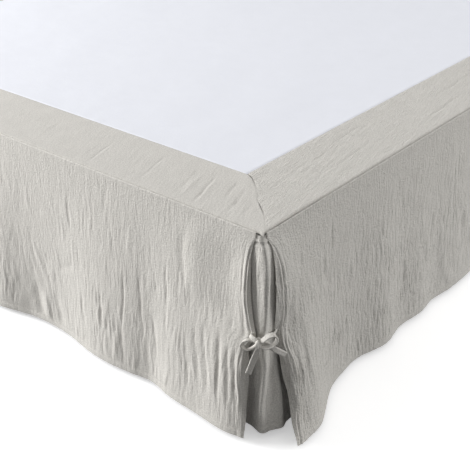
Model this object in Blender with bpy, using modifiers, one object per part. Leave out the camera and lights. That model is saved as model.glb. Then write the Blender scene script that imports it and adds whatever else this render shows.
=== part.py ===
"""A split-corner bed skirt of crinkled cotton, on the plain bed base that it hangs from.

Metres, +Z up. The floor is z = 0 and the origin is under the middle of the base, on the
sole of its middle leg. +Y points to the head end, so the foot end is at -Y. The skirt
covers the foot end and both long sides, and the head end is open.
"""

import math

import bmesh
import bpy
from mathutils import Vector

# Driving dimensions of the bed and the skirt
BED_WIDTH = 1.40
BED_LENGTH = 1.90
SKIRT_DROP = 0.35
HEM_ABOVE_FLOOR = 0.010
BAND_WIDTH = 0.142
CLOTH = 0.0015
GAP = 0.0003

# Rolled outer edge of the band, where it turns over the edge of the base
ROLL_RADIUS = 0.008
ROLL_STEPS = 4

# Bed base and legs
BASE_INSET = 0.006
BASE_THICKNESS = 0.16
BASE_CORNER_RADIUS = 0.030
BASE_CORNER_STEPS = 5
BASE_EDGE_RADIUS = 0.008
BASE_EDGE_STEPS = 3
LEG_RADIUS = 0.027
LEG_TAPER = 0.8
LEG_SIDES = 16
LEG_ROW_X = 0.60
LEG_ROW_Y = 0.85

# Hanging panels: how far each grid column stands from the next, and how the flare grows
COLUMN_STEP = 0.036
COLUMNS_BY_SLIT = (0.036, 0.048, 0.064, 0.084, 0.108, 0.135)
FLARE_POWER = 1.3
PULL_REACH = 0.09
LIFT_REACH = 0.08
TURN_RADIUS = 0.005
TURN_SHARES = (1.0, 0.72, 0.46, 0.30, 0.15)

# Inset pleat behind each slit
GUSSET_COLUMNS = (0.095, 0.065, 0.045, 0.032, 0.023, 0.016)
GUSSET_CORNER_RADIUS = 0.008
GUSSET_TURNS = 6
GUSSET_NOSE_WIDTH = 0.011
GUSSET_SIDE_FLARE = 0.020
GUSSET_FLARE_REACH = 0.030
GUSSET_FLARE_POWER = 3.0
GUSSET_HEM_LIFT = 0.004

# Self-fabric ties
TIE_WIDTH = 0.009
TIE_THICKNESS = 0.002
BOW_ALONG_FOOT = -0.009
BOW_ALONG_SIDE = -0.014
BOW_HEIGHT = 0.190
BOW_TURN = math.radians(39.3)
PATH_STEPS = 2
KNOT_SIDES = 10
KNOT_RINGS = 7
MILLIMETRE = 0.001

TOP = HEM_ABOVE_FLOOR + SKIRT_DROP
SEAM = TOP - ROLL_RADIUS
BASE_TOP = TOP - CLOTH - GAP
BASE_BOTTOM = BASE_TOP - BASE_THICKNESS
HEAD_END = BED_LENGTH / 2 - BASE_INSET
PANEL_TOP = SEAM - GAP
PANEL_HEIGHT = PANEL_TOP - HEM_ABOVE_FLOOR

# How far the hem stands out from the edge of the bed, in metres.
# Columns: distance along the edge from the right foot corner, stand-out.
FOOT_HEM = (
    (0.012, 0.030),
    (0.045, 0.034),
    (0.111, 0.028),
    (0.169, 0.024),
    (0.222, 0.013),
    (0.266, 0.019),
    (0.315, 0.023),
    (0.359, 0.021),
    (0.443, 0.007),
    (0.523, 0.008),
    (0.604, 0.026),
    (0.700, 0.028),
    (0.800, 0.012),
    (0.900, 0.022),
    (1.000, 0.012),
    (1.100, 0.024),
    (1.190, 0.014),
    (1.270, 0.026),
    (1.350, 0.032),
    (1.388, 0.030),
)
# Columns: distance along the edge from the foot corner, stand-out.
SIDE_HEM = (
    (0.013, 0.070),
    (0.031, 0.071),
    (0.076, 0.063),
    (0.107, 0.049),
    (0.162, 0.023),
    (0.209, 0.014),
    (0.260, 0.011),
    (0.330, 0.027),
    (0.393, 0.018),
    (0.461, 0.024),
    (0.511, 0.019),
    (0.566, 0.026),
    (0.653, 0.026),
    (0.760, 0.015),
    (0.870, 0.027),
    (0.980, 0.013),
    (1.100, 0.027),
    (1.220, 0.016),
    (1.340, 0.025),
    (1.470, 0.013),
    (1.600, 0.024),
    (1.740, 0.017),
    (1.894, 0.022),
)

# The slit edge of each panel, from the top seam to the hem.
# Columns: share of the height from the top, distance of the edge from the corner,
# stand-out, length of the turned-in strip, angle that it has turned through in degrees.
FOOT_SLIT = (
    (0.00, 0.006, 0.000, 0.012, 0.0),
    (0.05, 0.010, 0.004, 0.010, 12.0),
    (0.16, 0.019, 0.012, 0.014, 60.0),
    (0.30, 0.022, 0.018, 0.020, 85.0),
    (0.42, 0.014, 0.016, 0.018, 75.0),
    (0.47, 0.008, 0.015, 0.016, 65.0),
    (0.53, 0.024, 0.017, 0.018, 75.0),
    (0.66, 0.029, 0.021, 0.022, 85.0),
    (0.84, 0.025, 0.026, 0.022, 85.0),
    (0.93, 0.018, 0.029, 0.016, 65.0),
    (1.00, 0.012, 0.031, 0.014, 10.0),
)
SIDE_SLIT = (
    (0.00, 0.008, 0.000, 0.012, 0.0),
    (0.05, 0.017, 0.005, 0.011, 18.0),
    (0.16, 0.030, 0.014, 0.015, 65.0),
    (0.30, 0.037, 0.018, 0.020, 85.0),
    (0.42, 0.036, 0.017, 0.018, 78.0),
    (0.47, 0.023, 0.015, 0.016, 65.0),
    (0.53, 0.032, 0.024, 0.018, 78.0),
    (0.66, 0.037, 0.035, 0.024, 85.0),
    (0.84, 0.035, 0.048, 0.026, 85.0),
    (0.93, 0.027, 0.060, 0.022, 60.0),
    (1.00, 0.012, 0.070, 0.020, 5.0),
)

# The rounded fold that wraps the corner of the bed behind the slit.
# Columns: share of the height, how far the fold stands out, how far it leans to the side.
GUSSET_FOLD = (
    (0.00, 0.000, 0.000),
    (0.05, 0.001, 0.000),
    (0.16, 0.006, 0.000),
    (0.30, 0.009, 0.000),
    (0.42, 0.007, 0.000),
    (0.47, 0.005, 0.002),
    (0.53, 0.006, 0.006),
    (0.66, 0.008, 0.008),
    (0.84, 0.010, -0.002),
    (0.93, 0.011, 0.000),
    (1.00, 0.011, 0.003),
)

# The ties in the bow's own millimetres: across to the right, out from the corner, up.
# Columns: across, out, up, then the way that the strip's width points, as shares of the
# width of the tie. The strip is gathered narrower where it enters the knot.
LEAD_FOOT = (
    (-10.0, -18.0, 13.0, 0.00, 0.00, 0.95),
    (-14.2, -15.4, 13.0, 0.00, 0.00, 0.95),
    (-13.2, -10.0, 13.0, 0.00, 0.00, 0.95),
    (-9.5, -4.5, 13.0, 0.15, 0.00, 0.95),
    (-4.5, 0.5, 9.5, 0.42, 0.10, 0.80),
    (-0.5, 0.0, 3.0, 0.45, 0.00, 0.70),
)
LOOP_RIGHT = (
    (1.0, 0.5, 2.0, 0.00, 0.50, 0.10),
    (8.0, 3.0, 11.0, -0.20, 0.95, 0.20),
    (17.0, 4.0, 20.5, -0.20, 0.90, 0.40),
    (25.5, 3.5, 20.5, 0.40, 0.85, 0.30),
    (27.0, 3.0, 10.0, 0.50, 0.85, 0.10),
    (20.0, 3.5, 0.0, 0.30, 0.90, 0.30),
    (9.0, 3.0, -5.0, 0.00, 0.95, 0.30),
    (1.0, 0.5, -4.0, 0.00, 0.50, 0.10),
)
TAIL_LEFT = (
    (0.0, 0.0, -3.0, 0.60, 0.00, -0.20),
    (-5.0, 2.0, -16.0, 0.93, 0.10, -0.35),
    (-11.0, 1.0, -32.0, 0.93, 0.10, -0.35),
    (-17.5, 0.0, -54.0, 0.93, 0.10, -0.35),
)
LEAD_SIDE = (
    (21.4, -30.4, 3.0, 0.00, 0.00, 0.95),
    (26.2, -29.1, 3.0, 0.00, 0.00, 0.95),
    (26.0, -23.5, 2.5, 0.00, 0.00, 0.95),
    (18.0, -15.5, 1.5, 0.00, 0.00, 0.95),
    (2.0, -7.6, 0.0, 0.00, 0.00, 0.70),
)
LOOP_LEFT = (
    (-1.0, -7.6, 2.6, 0.00, 0.35, 0.05),
    (-9.0, -3.5, 4.6, 0.20, 0.80, 0.20),
    (-18.0, 0.5, 9.0, 0.10, 0.90, 0.45),
    (-27.0, 1.5, 4.5, -0.40, 0.85, 0.30),
    (-28.0, 1.5, -4.0, -0.40, 0.85, -0.20),
    (-19.0, 1.0, -9.0, 0.00, 0.95, -0.30),
    (-9.0, -3.0, -6.0, 0.20, 0.90, -0.10),
    (-1.0, -7.6, -2.6, 0.00, 0.35, 0.00),
)
TAIL_RIGHT = (
    (1.0, -7.6, -1.0, 0.10, 0.00, 0.60),
    (10.0, -8.0, -7.0, 0.40, 0.20, 0.85),
    (22.0, -9.0, -17.0, 0.45, 0.25, 0.85),
    (38.0, -13.0, -32.0, 0.50, 0.25, 0.80),
)
# Radii of each tie's part of the knot, and where it lies: across, out, up, in millimetres
KNOT_FOOT = ((4.6, 4.4, 9.5), (0.0, 0.0, 1.0))
KNOT_SIDE = ((5.5, 2.6, 5.5), (0.0, -7.6, 0.0))

# Base colour, roughness and metallic of each sub-part
FACE_CLOTH = ((0.578, 0.558, 0.527), 0.95, 0.0)
DECK_CLOTH = ((0.80, 0.82, 0.88), 0.9, 0.0)
BASE_CLOTH = ((0.62, 0.60, 0.57), 0.95, 0.0)
LEG_WOOD = ((0.42, 0.30, 0.19), 0.55, 0.0)


def clear_scene():
    """Remove what the file already holds."""
    for old in list(bpy.data.objects):
        bpy.data.objects.remove(old, do_unlink=True)


def collection(name):
    """Return a new collection in the scene."""
    made = bpy.data.collections.new(name)
    bpy.context.scene.collection.children.link(made)
    return made


def add_object(name, mesh_data, finish, home):
    """Link a named object with its own material."""
    color, roughness, metallic = finish
    material = bpy.data.materials.new(name)
    material.use_nodes = True
    shader = material.node_tree.nodes["Principled BSDF"]
    shader.inputs["Base Color"].default_value = (*color, 1.0)
    shader.inputs["Roughness"].default_value = roughness
    shader.inputs["Metallic"].default_value = metallic
    made = bpy.data.objects.new(name, mesh_data)
    mesh_data.materials.append(material)
    home.objects.link(made)
    return made


def to_mesh(name, bm, smooth_angle=None):
    """Turn a bmesh into mesh data, shaded smooth where an angle is given."""
    data = bpy.data.meshes.new(name)
    bm.to_mesh(data)
    bm.free()
    if smooth_angle is not None:
        data.shade_smooth()
        data.set_sharp_from_angle(angle=smooth_angle)
    return data


def solidify(made, thickness, offset):
    """Give an open sheet its thickness."""
    thick = made.modifiers.new("Thickness", "SOLIDIFY")
    thick.thickness = thickness
    thick.offset = offset
    thick.use_even_offset = True
    thick.use_rim = True


def curve_through(rows, at):
    """Read a table at one value of its first column, on a smooth curve through its rows."""
    keys = [row[0] for row in rows]
    if at <= keys[0]:
        return rows[0][1:]
    if at >= keys[-1]:
        return rows[-1][1:]
    right = next(i for i, key in enumerate(keys) if key > at)
    left = right - 1
    span = keys[right] - keys[left]
    share = (at - keys[left]) / span
    values = []
    for column in range(1, len(rows[0])):

        def slope(i):
            before = max(i - 1, 0)
            after = min(i + 1, len(rows) - 1)
            return (rows[after][column] - rows[before][column]) / (keys[after] - keys[before])

        h = share * share * (3 - 2 * share)
        value = rows[left][column] * (1 - h) + rows[right][column] * h
        value += span * slope(left) * share * (1 - share) ** 2
        value -= span * slope(right) * share * share * (1 - share)
        values.append(value)
    return tuple(values)


class Edge:
    """One edge of the bed: where it starts, the way along it and the way out of it."""

    def __init__(self, start, along, out, length):
        self.start = Vector((*start, 0.0))
        self.along = Vector((*along, 0.0))
        self.out = Vector((*out, 0.0))
        self.length = length

    def point(self, along, out, height):
        """A world point from a distance along the edge, a stand-out and a height."""
        place = self.start + self.along * along + self.out * out
        return Vector((place.x, place.y, height))

    def faces_out(self):
        """Whether a grid that runs along the edge and then down faces away from the bed."""
        return self.along.cross(Vector((0, 0, -1))).dot(self.out) > 0


HALF_WIDTH = BED_WIDTH / 2
HALF_LENGTH = BED_LENGTH / 2
SIDE_LENGTH = HEAD_END + HALF_LENGTH
FOOT_EDGE = Edge((HALF_WIDTH, -HALF_LENGTH), (-1, 0), (0, -1), BED_WIDTH)
RIGHT_EDGE = Edge((HALF_WIDTH, -HALF_LENGTH), (0, 1), (1, 0), SIDE_LENGTH)
LEFT_EDGE = Edge((-HALF_WIDTH, -HALF_LENGTH), (0, 1), (-1, 0), SIDE_LENGTH)


def sheet_grid(name, columns, faces_out, finish, home):
    """Make a cloth sheet from columns of points that run from its top to its hem."""
    across = len(columns)
    down = len(columns[0])
    bm = bmesh.new()
    bmesh.ops.create_grid(bm, x_segments=across - 1, y_segments=down - 1, size=0.5)
    for vert in bm.verts:
        column = round((vert.co.x + 0.5) * (across - 1))
        row = round((vert.co.y + 0.5) * (down - 1))
        vert.co = columns[column][row]
    if not faces_out:
        bmesh.ops.reverse_faces(bm, faces=bm.faces[:])
    made = add_object(name, to_mesh(name, bm, math.radians(60)), finish, home)
    solidify(made, CLOTH, -1.0)
    return made


def turned_edge(row):
    """Section of a slit edge: its turned-in strip, from the free end to the flat panel."""
    edge, out, turn, roll = row[1:]
    roll = math.radians(roll)
    radius = min(TURN_RADIUS, turn / 3)
    bent = radius * roll
    start = edge + radius * math.sin(roll) + (turn - bent) * math.cos(roll)
    section = []
    for share in TURN_SHARES:
        run = share * turn
        angle = min(run / radius, roll)
        past = max(run - bent, 0.0)
        along = start - radius * math.sin(angle) - past * math.cos(roll)
        stand = out - radius * (1 - math.cos(angle)) - past * math.sin(roll)
        section.append((along, stand))
    return start, section


def panel_rows(slit, hem, length, slit_at_end):
    """Sections of a hanging panel, from its top seam to its hem, as (along, out) points."""
    first = COLUMNS_BY_SLIT[0]
    places = list(COLUMNS_BY_SLIT)
    last = length - first if slit_at_end else length
    inner = length - COLUMNS_BY_SLIT[-1] if slit_at_end else length
    count = round((inner - places[-1]) / COLUMN_STEP)
    step = (inner - places[-1]) / count
    places += [places[-1] + step * i for i in range(1, count + (0 if slit_at_end else 1))]
    if slit_at_end:
        places += [length - place for place in reversed(COLUMNS_BY_SLIT)]
    sections = []
    for row in slit:
        share, out = row[0], row[2]
        start, turned = turned_edge(row)
        flare = share ** FLARE_POWER

        def hang(along):
            return curve_through(hem, along)[0] * flare

        lift = out - hang(start)
        end_lift = out - hang(length - start) if slit_at_end else 0.0
        section = list(turned)
        for place in places:
            along = place + (start - first) * math.exp(-(place - first) / PULL_REACH)
            if slit_at_end:
                along -= (start - first) * math.exp(-(last - place) / PULL_REACH)
            stand = hang(along)
            stand += lift * math.exp(-(((along - start) / LIFT_REACH) ** 2))
            stand += end_lift * math.exp(-(((length - start - along) / LIFT_REACH) ** 2))
            section.append((along, stand))
        if slit_at_end:
            section += [(length - along, stand) for along, stand in reversed(turned)]
        sections.append(section)
    return sections


def add_panel(name, edge, slit, hem, slit_at_end, home):
    """A hanging panel of the skirt, sewn under the band and open at its slits."""
    sections = panel_rows(slit, hem, edge.length, slit_at_end)
    heights = [PANEL_TOP - row[0] * PANEL_HEIGHT for row in slit]
    columns = []
    for i in range(len(sections[0])):
        points = [edge.point(*section[i], height) for section, height in zip(sections, heights)]
        columns.append(points)
    return sheet_grid(name, columns, edge.faces_out(), FACE_CLOTH, home)


def corner_point(side, along_foot, along_side, height):
    """A world point from distances along the two edges that meet at a foot corner."""
    x = side * (HALF_WIDTH - along_foot)
    return Vector((x, along_side - HALF_LENGTH, height))


def add_gusset(name, side, home):
    """The inset pleat that wraps the corner of the bed behind a slit."""
    inset = CLOTH + GAP
    radius = GUSSET_CORNER_RADIUS
    centre = inset + radius
    path = [(distance, inset) for distance in GUSSET_COLUMNS]
    for i in range(GUSSET_TURNS + 1):
        angle = math.pi / 2 * i / GUSSET_TURNS
        path.append((centre - radius * math.sin(angle), centre - radius * math.cos(angle)))
    path += [(inset, distance) for distance in reversed(GUSSET_COLUMNS)]
    runs = [0.0]
    for before, after in zip(path, path[1:]):
        runs.append(runs[-1] + math.dist(before, after))
    centre_run = runs[-1] / 2
    columns = []
    for (along_foot, along_side), run in zip(path, runs):
        points = []
        for share, stand, lean in GUSSET_FOLD:
            off = (run - centre_run - lean) / GUSSET_NOSE_WIDTH
            push = stand * math.exp(-off * off) / math.sqrt(2)
            height = PANEL_TOP - share * (PANEL_HEIGHT - GUSSET_HEM_LIFT)
            reach = min(along_side / GUSSET_FLARE_REACH, 1.0)
            flare = GUSSET_SIDE_FLARE * share**GUSSET_FLARE_POWER
            push_side = push + flare * reach * reach * (3 - 2 * reach)
            points.append(
                corner_point(side, along_foot - push_side, along_side - push, height)
            )
        columns.append(points)
    return sheet_grid(name, columns, side < 0, FACE_CLOTH, home)


def add_band(name, edge, mitre_at_end, home):
    """One side of the mitred border, with its outer edge rolled over the base."""
    outer = [(BAND_WIDTH, TOP)]
    inner = [(BAND_WIDTH, TOP - CLOTH)]
    for i in range(ROLL_STEPS + 1):
        angle = math.pi / 2 * i / ROLL_STEPS
        across, down = math.sin(angle), math.cos(angle)
        under = ROLL_RADIUS - CLOTH
        outer.append((ROLL_RADIUS * (1 - across), SEAM + ROLL_RADIUS * down))
        inner.append((ROLL_RADIUS - under * across, SEAM + under * down))
    profile = outer + inner[::-1]
    seam_gap = GAP / math.sqrt(2)
    bm = bmesh.new()
    loop = [bm.verts.new((0.0, inward, height)) for inward, height in profile]
    face = bm.faces.new(loop)
    grown = bmesh.ops.extrude_face_region(bm, geom=[face], use_keep_orig=True)
    far = {vert for vert in grown["geom"] if isinstance(vert, bmesh.types.BMVert)}
    for vert in bm.verts:
        inward, height = vert.co.y, vert.co.z
        along = inward + seam_gap
        if vert in far:
            along = edge.length - (inward + seam_gap if mitre_at_end else 0.0)
        vert.co = edge.point(along, -inward, height)
    bmesh.ops.recalc_face_normals(bm, faces=bm.faces[:])
    return add_object(name, to_mesh(name, bm, math.radians(40)), FACE_CLOTH, home)


def box_between(low, high):
    """A box between two corners as a bmesh, with its upright edges."""
    bm = bmesh.new()
    bmesh.ops.create_cube(bm, size=1.0)
    middle = (Vector(low) + Vector(high)) / 2
    size = Vector(high) - Vector(low)
    for vert in bm.verts:
        vert.co = Vector(a * b for a, b in zip(vert.co, size)) + middle
    upright = [e for e in bm.edges if abs(e.verts[0].co.z - e.verts[1].co.z) > size.z / 2]
    return bm, upright


def add_base(home):
    """The plain upholstered base, with rounded corners and edges."""
    half_x = HALF_WIDTH - BASE_INSET
    low = (-half_x, BASE_INSET - HALF_LENGTH, BASE_BOTTOM)
    bm, upright = box_between(low, (half_x, HEAD_END, BASE_TOP))
    bmesh.ops.bevel(
        bm,
        geom=upright,
        offset=BASE_CORNER_RADIUS,
        offset_type="OFFSET",
        segments=BASE_CORNER_STEPS,
        profile=0.5,
        affect="EDGES",
    )
    made = add_object("bed_base", to_mesh("bed_base", bm, math.radians(50)), BASE_CLOTH, home)
    rounded = made.modifiers.new("Rounded edges", "BEVEL")
    rounded.width = BASE_EDGE_RADIUS
    rounded.segments = BASE_EDGE_STEPS
    rounded.limit_method = "ANGLE"
    rounded.angle_limit = math.radians(60)
    return made


def add_deck(home):
    """The plain cloth that lies on the base inside the border."""
    half_x = HALF_WIDTH - BAND_WIDTH - GAP
    low = (-half_x, BAND_WIDTH + GAP - HALF_LENGTH, BASE_TOP + GAP)
    high = (half_x, HEAD_END - BASE_EDGE_RADIUS, TOP)
    bm = box_between(low, high)[0]
    return add_object("deck", to_mesh("deck", bm), DECK_CLOTH, home)


def add_leg(name, x, y, home):
    """A plain round leg, tapered towards its sole."""
    tall = BASE_BOTTOM - GAP
    bm = bmesh.new()
    bmesh.ops.create_cone(
        bm,
        cap_ends=True,
        segments=LEG_SIDES,
        radius1=LEG_RADIUS * LEG_TAPER,
        radius2=LEG_RADIUS,
        depth=tall,
    )
    made = add_object(name, to_mesh(name, bm, math.radians(40)), LEG_WOOD, home)
    made.location = (x, y, tall / 2)
    return made


def bow_point(side, across, out, up):
    """A world vector from the bow's own directions, in metres."""
    along_foot = -math.cos(BOW_TURN) * across - math.sin(BOW_TURN) * out
    along_side = math.sin(BOW_TURN) * across - math.cos(BOW_TURN) * out
    return Vector((side * -along_foot, along_side, up))


def add_strip(name, side, rows, home):
    """A length of flat tie on a smooth path through hand-chosen points."""
    keyed = [(float(i), *row) for i, row in enumerate(rows)]
    steps = (len(rows) - 1) * PATH_STEPS
    centre = corner_point(side, BOW_ALONG_FOOT, BOW_ALONG_SIDE, BOW_HEIGHT)
    bm = bmesh.new()
    bmesh.ops.create_grid(bm, x_segments=steps, y_segments=1, size=0.5)
    for vert in bm.verts:
        at = (vert.co.x + 0.5) * (len(rows) - 1)
        hand = 1.0 if vert.co.y > 0 else -1.0
        values = curve_through(keyed, at)
        place = bow_point(side, *(value * MILLIMETRE for value in values[:3]))
        width = bow_point(side, *values[3:])
        vert.co = centre + place + width * hand * TIE_WIDTH / 2
    made = add_object(name, to_mesh(name, bm, math.radians(60)), FACE_CLOTH, home)
    solidify(made, TIE_THICKNESS, 0.0)
    return made


def add_tie(name, side, strips, knot, home, cutters):
    """One tie: its lead, loop and tail, joined where they meet in the knot."""
    radii, middle = knot
    bm = bmesh.new()
    bmesh.ops.create_uvsphere(bm, u_segments=KNOT_SIDES, v_segments=KNOT_RINGS, radius=1.0)
    centre = corner_point(side, BOW_ALONG_FOOT, BOW_ALONG_SIDE, BOW_HEIGHT)
    for vert in bm.verts:
        local = [(m + a * b) * MILLIMETRE for m, a, b in zip(middle, vert.co, radii)]
        vert.co = centre + bow_point(side, *local)
    if side < 0:
        bmesh.ops.reverse_faces(bm, faces=bm.faces[:])
    made = add_object(name, to_mesh(name, bm, math.radians(60)), FACE_CLOTH, home)
    for i, rows in enumerate(strips):
        strip = add_strip(f"{name}_strip_{i}", side, rows, cutters)
        strip.hide_render = True
        strip.display_type = "WIRE"
        join = made.modifiers.new("Join", "BOOLEAN")
        join.operation = "UNION"
        join.solver = "EXACT"
        join.object = strip
    return made


def main():
    clear_scene()
    skirt = collection("bed_skirt_on_base")
    cutters = collection("cutters")
    add_base(skirt)
    for column, x in (("left", -LEG_ROW_X), ("right", LEG_ROW_X)):
        for row, y in (("foot", -LEG_ROW_Y), ("middle", 0.0), ("head", LEG_ROW_Y)):
            add_leg(f"leg_{row}_{column}", x, y, skirt)
    add_leg("leg_centre", 0.0, 0.0, skirt)
    add_deck(skirt)
    add_band("band_foot", FOOT_EDGE, True, skirt)
    add_band("band_right", RIGHT_EDGE, False, skirt)
    add_band("band_left", LEFT_EDGE, False, skirt)
    add_panel("drop_foot", FOOT_EDGE, FOOT_SLIT, FOOT_HEM, True, skirt)
    add_panel("drop_right", RIGHT_EDGE, SIDE_SLIT, SIDE_HEM, False, skirt)
    add_panel("drop_left", LEFT_EDGE, SIDE_SLIT, SIDE_HEM, False, skirt)
    for side, hand in ((1, "right"), (-1, "left")):
        add_gusset(f"gusset_{hand}", side, skirt)
        foot_strips = (LEAD_FOOT, LOOP_RIGHT, TAIL_LEFT)
        side_strips = (LEAD_SIDE, LOOP_LEFT, TAIL_RIGHT)
        add_tie(f"tie_foot_{hand}", side, foot_strips, KNOT_FOOT, skirt, cutters)
        add_tie(f"tie_side_{hand}", side, side_strips, KNOT_SIDE, skirt, cutters)


main()
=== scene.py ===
"""A split-corner bed skirt of crinkled double gauze, dressed around the frame of its solids.

Metres, +Z up, as in the frame. The floor is z = 0, -Y is the foot end and +X the right side.
Run as a script, it builds the cloth, the ties, the stitching, the studio and the camera.
"""

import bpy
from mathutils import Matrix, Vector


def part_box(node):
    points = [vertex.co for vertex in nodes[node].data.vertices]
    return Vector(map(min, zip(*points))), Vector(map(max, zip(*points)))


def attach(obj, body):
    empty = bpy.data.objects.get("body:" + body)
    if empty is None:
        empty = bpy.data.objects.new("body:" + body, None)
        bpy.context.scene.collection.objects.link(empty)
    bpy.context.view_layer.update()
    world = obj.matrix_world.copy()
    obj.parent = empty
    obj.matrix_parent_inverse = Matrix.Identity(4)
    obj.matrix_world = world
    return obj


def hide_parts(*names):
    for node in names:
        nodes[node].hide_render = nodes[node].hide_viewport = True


bl_info = {
    "name": "Split-corner bed skirt",
    "version": (1, 0, 0),
    "blender": (4, 5, 0),
    "location": "3D View > Sidebar > Bed skirt",
    "description": "Builds a crinkled cotton bed skirt with tied corners around its frame",
    "category": "Object",
}

import math

import bpy
import numpy as np
from mathutils import Vector

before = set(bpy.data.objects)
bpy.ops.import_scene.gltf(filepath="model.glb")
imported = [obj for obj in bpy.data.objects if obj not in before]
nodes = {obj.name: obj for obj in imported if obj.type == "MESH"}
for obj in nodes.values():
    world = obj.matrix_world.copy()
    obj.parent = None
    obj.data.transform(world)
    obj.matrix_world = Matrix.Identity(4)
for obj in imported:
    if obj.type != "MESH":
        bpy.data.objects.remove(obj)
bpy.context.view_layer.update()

# Edges of the bed and heights of the skirt, read from the frame
HALF_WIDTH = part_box("band_right")[1].x
FOOT_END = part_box("band_foot")[0].y
HEAD_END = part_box("drop_right")[1].y
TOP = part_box("band_foot")[1].z
PANEL_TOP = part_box("drop_foot")[1].z
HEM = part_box("drop_foot")[0].z
BAND_WIDTH = HALF_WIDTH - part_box("deck")[1].x
PANEL_HEIGHT = PANEL_TOP - HEM
SIDE_LENGTH = HEAD_END - FOOT_END
MILLIMETRE = 0.001
BODY = "root"
CLOTH_MAP = "cloth"

# Hanging panels: how a slit edge pulls and lifts the cloth beside it
PANEL_START = 0.036
FLARE_POWER = 1.3
LEAN_PLACE = 0.47
PULL_REACH = 0.09
LIFT_REACH = 0.03
FOLD_REACH = 0.018
PULL_BLUR = 0.11

# How far the hem stands out from the edge of the bed.
# Columns: distance along the edge from the right foot corner, stand-out.
FOOT_HEM = (
    (0.012, 0.030),
    (0.045, 0.034),
    (0.111, 0.028),
    (0.169, 0.024),
    (0.222, 0.013),
    (0.266, 0.019),
    (0.315, 0.023),
    (0.359, 0.021),
    (0.443, 0.007),
    (0.523, 0.008),
    (0.604, 0.026),
    (0.700, 0.028),
    (0.800, 0.012),
    (0.900, 0.022),
    (1.000, 0.012),
    (1.100, 0.024),
    (1.190, 0.014),
    (1.270, 0.026),
    (1.350, 0.032),
    (1.388, 0.030),
)
SIDE_HEM = (
    (0.013, 0.070),
    (0.031, 0.071),
    (0.076, 0.063),
    (0.107, 0.049),
    (0.162, 0.023),
    (0.209, 0.014),
    (0.260, 0.011),
    (0.330, 0.027),
    (0.393, 0.018),
    (0.461, 0.024),
    (0.511, 0.019),
    (0.566, 0.026),
    (0.653, 0.026),
    (0.760, 0.015),
    (0.870, 0.027),
    (0.980, 0.013),
    (1.100, 0.027),
    (1.220, 0.016),
    (1.340, 0.025),
    (1.470, 0.013),
    (1.600, 0.024),
    (1.740, 0.017),
    (1.894, 0.022),
)

# The slit edge of each panel, from the top seam to the hem.
# Columns: share of the height from the top, distance of the edge from the corner,
# stand-out, length of the turned-in strip, angle that it has turned through in degrees,
# radius of the turn.
FOOT_SLIT = (
    (0.00, 0.0137, 0.0000, 0.0024, 5.0, 0.008),
    (0.05, 0.0177, 0.0025, 0.0055, 30.0, 0.008),
    (0.10, 0.0191, 0.0050, 0.0081, 55.0, 0.008),
    (0.16, 0.0186, 0.0080, 0.0116, 68.0, 0.009),
    (0.30, 0.0175, 0.0108, 0.0144, 72.0, 0.009),
    (0.42, 0.0110, 0.0108, 0.0131, 74.0, 0.009),
    (0.47, 0.0065, 0.0115, 0.0118, 70.0, 0.008),
    (0.53, 0.0176, 0.0150, 0.0142, 76.0, 0.009),
    (0.66, 0.0192, 0.0195, 0.0206, 80.0, 0.009),
    (0.84, 0.0162, 0.0225, 0.0155, 80.0, 0.009),
    (0.93, 0.0134, 0.0255, 0.0113, 70.0, 0.008),
    (1.00, 0.0118, 0.0280, 0.0051, 20.0, 0.008),
)
SIDE_SLIT = (
    (0.00, 0.0096, 0.0000, 0.0025, 5.0, 0.010),
    (0.05, 0.0178, 0.0035, 0.0062, 8.0, 0.010),
    (0.10, 0.0200, 0.0075, 0.0113, 12.0, 0.010),
    (0.16, 0.0206, 0.0118, 0.0143, 16.0, 0.010),
    (0.30, 0.0211, 0.0157, 0.0181, 18.0, 0.010),
    (0.42, 0.0233, 0.0140, 0.0198, 22.0, 0.010),
    (0.47, 0.0250, 0.0135, 0.0169, 35.0, 0.010),
    (0.53, 0.0275, 0.0185, 0.0165, 55.0, 0.008),
    (0.66, 0.0315, 0.0318, 0.0226, 72.0, 0.008),
    (0.84, 0.0344, 0.0430, 0.0188, 74.0, 0.007),
    (0.93, 0.0239, 0.0540, 0.0142, 65.0, 0.006),
    (1.00, 0.0121, 0.0665, 0.0089, 15.0, 0.006),
)

# The rounded fold that wraps the corner of the bed behind the slit.
# Columns: share of the height, how far the fold stands out to the side and to the foot, how
# far round the corner it leans to the side.
GUSSET_FOLD = (
    (0.00, 0.0000, 0.0000, 0.000),
    (0.05, 0.0060, 0.0030, 0.003),
    (0.16, 0.0105, 0.0045, 0.006),
    (0.30, 0.0110, 0.0045, 0.005),
    (0.42, 0.0085, 0.0045, 0.005),
    (0.47, 0.0055, 0.0040, 0.004),
    (0.53, 0.0050, 0.0045, 0.006),
    (0.66, 0.0065, 0.0060, 0.008),
    (0.84, 0.0080, 0.0075, -0.002),
    (0.93, 0.0082, 0.0080, 0.000),
    (1.00, 0.0080, 0.0078, 0.003),
)
# How open the seam groove is beside the top edge of each panel, in millimetres
FOOT_GROOVE = (
    (0.00, 0.6),
    (0.06, 0.9),
    (0.12, 0.7),
    (0.20, 0.9),
    (0.27, 0.4),
    (0.33, 0.0),
    (1.05, 0.0),
    (1.20, 0.5),
    (1.34, 0.9),
    (1.40, 0.6),
)
SIDE_GROOVE = (
    (0.00, 1.0),
    (0.06, 1.3),
    (0.11, 2.2),
    (0.13, 2.0),
    (0.17, 1.0),
    (0.37, 0.8),
    (0.61, 0.7),
    (1.00, 0.9),
    (1.50, 0.6),
    (1.90, 0.8),
)
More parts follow.
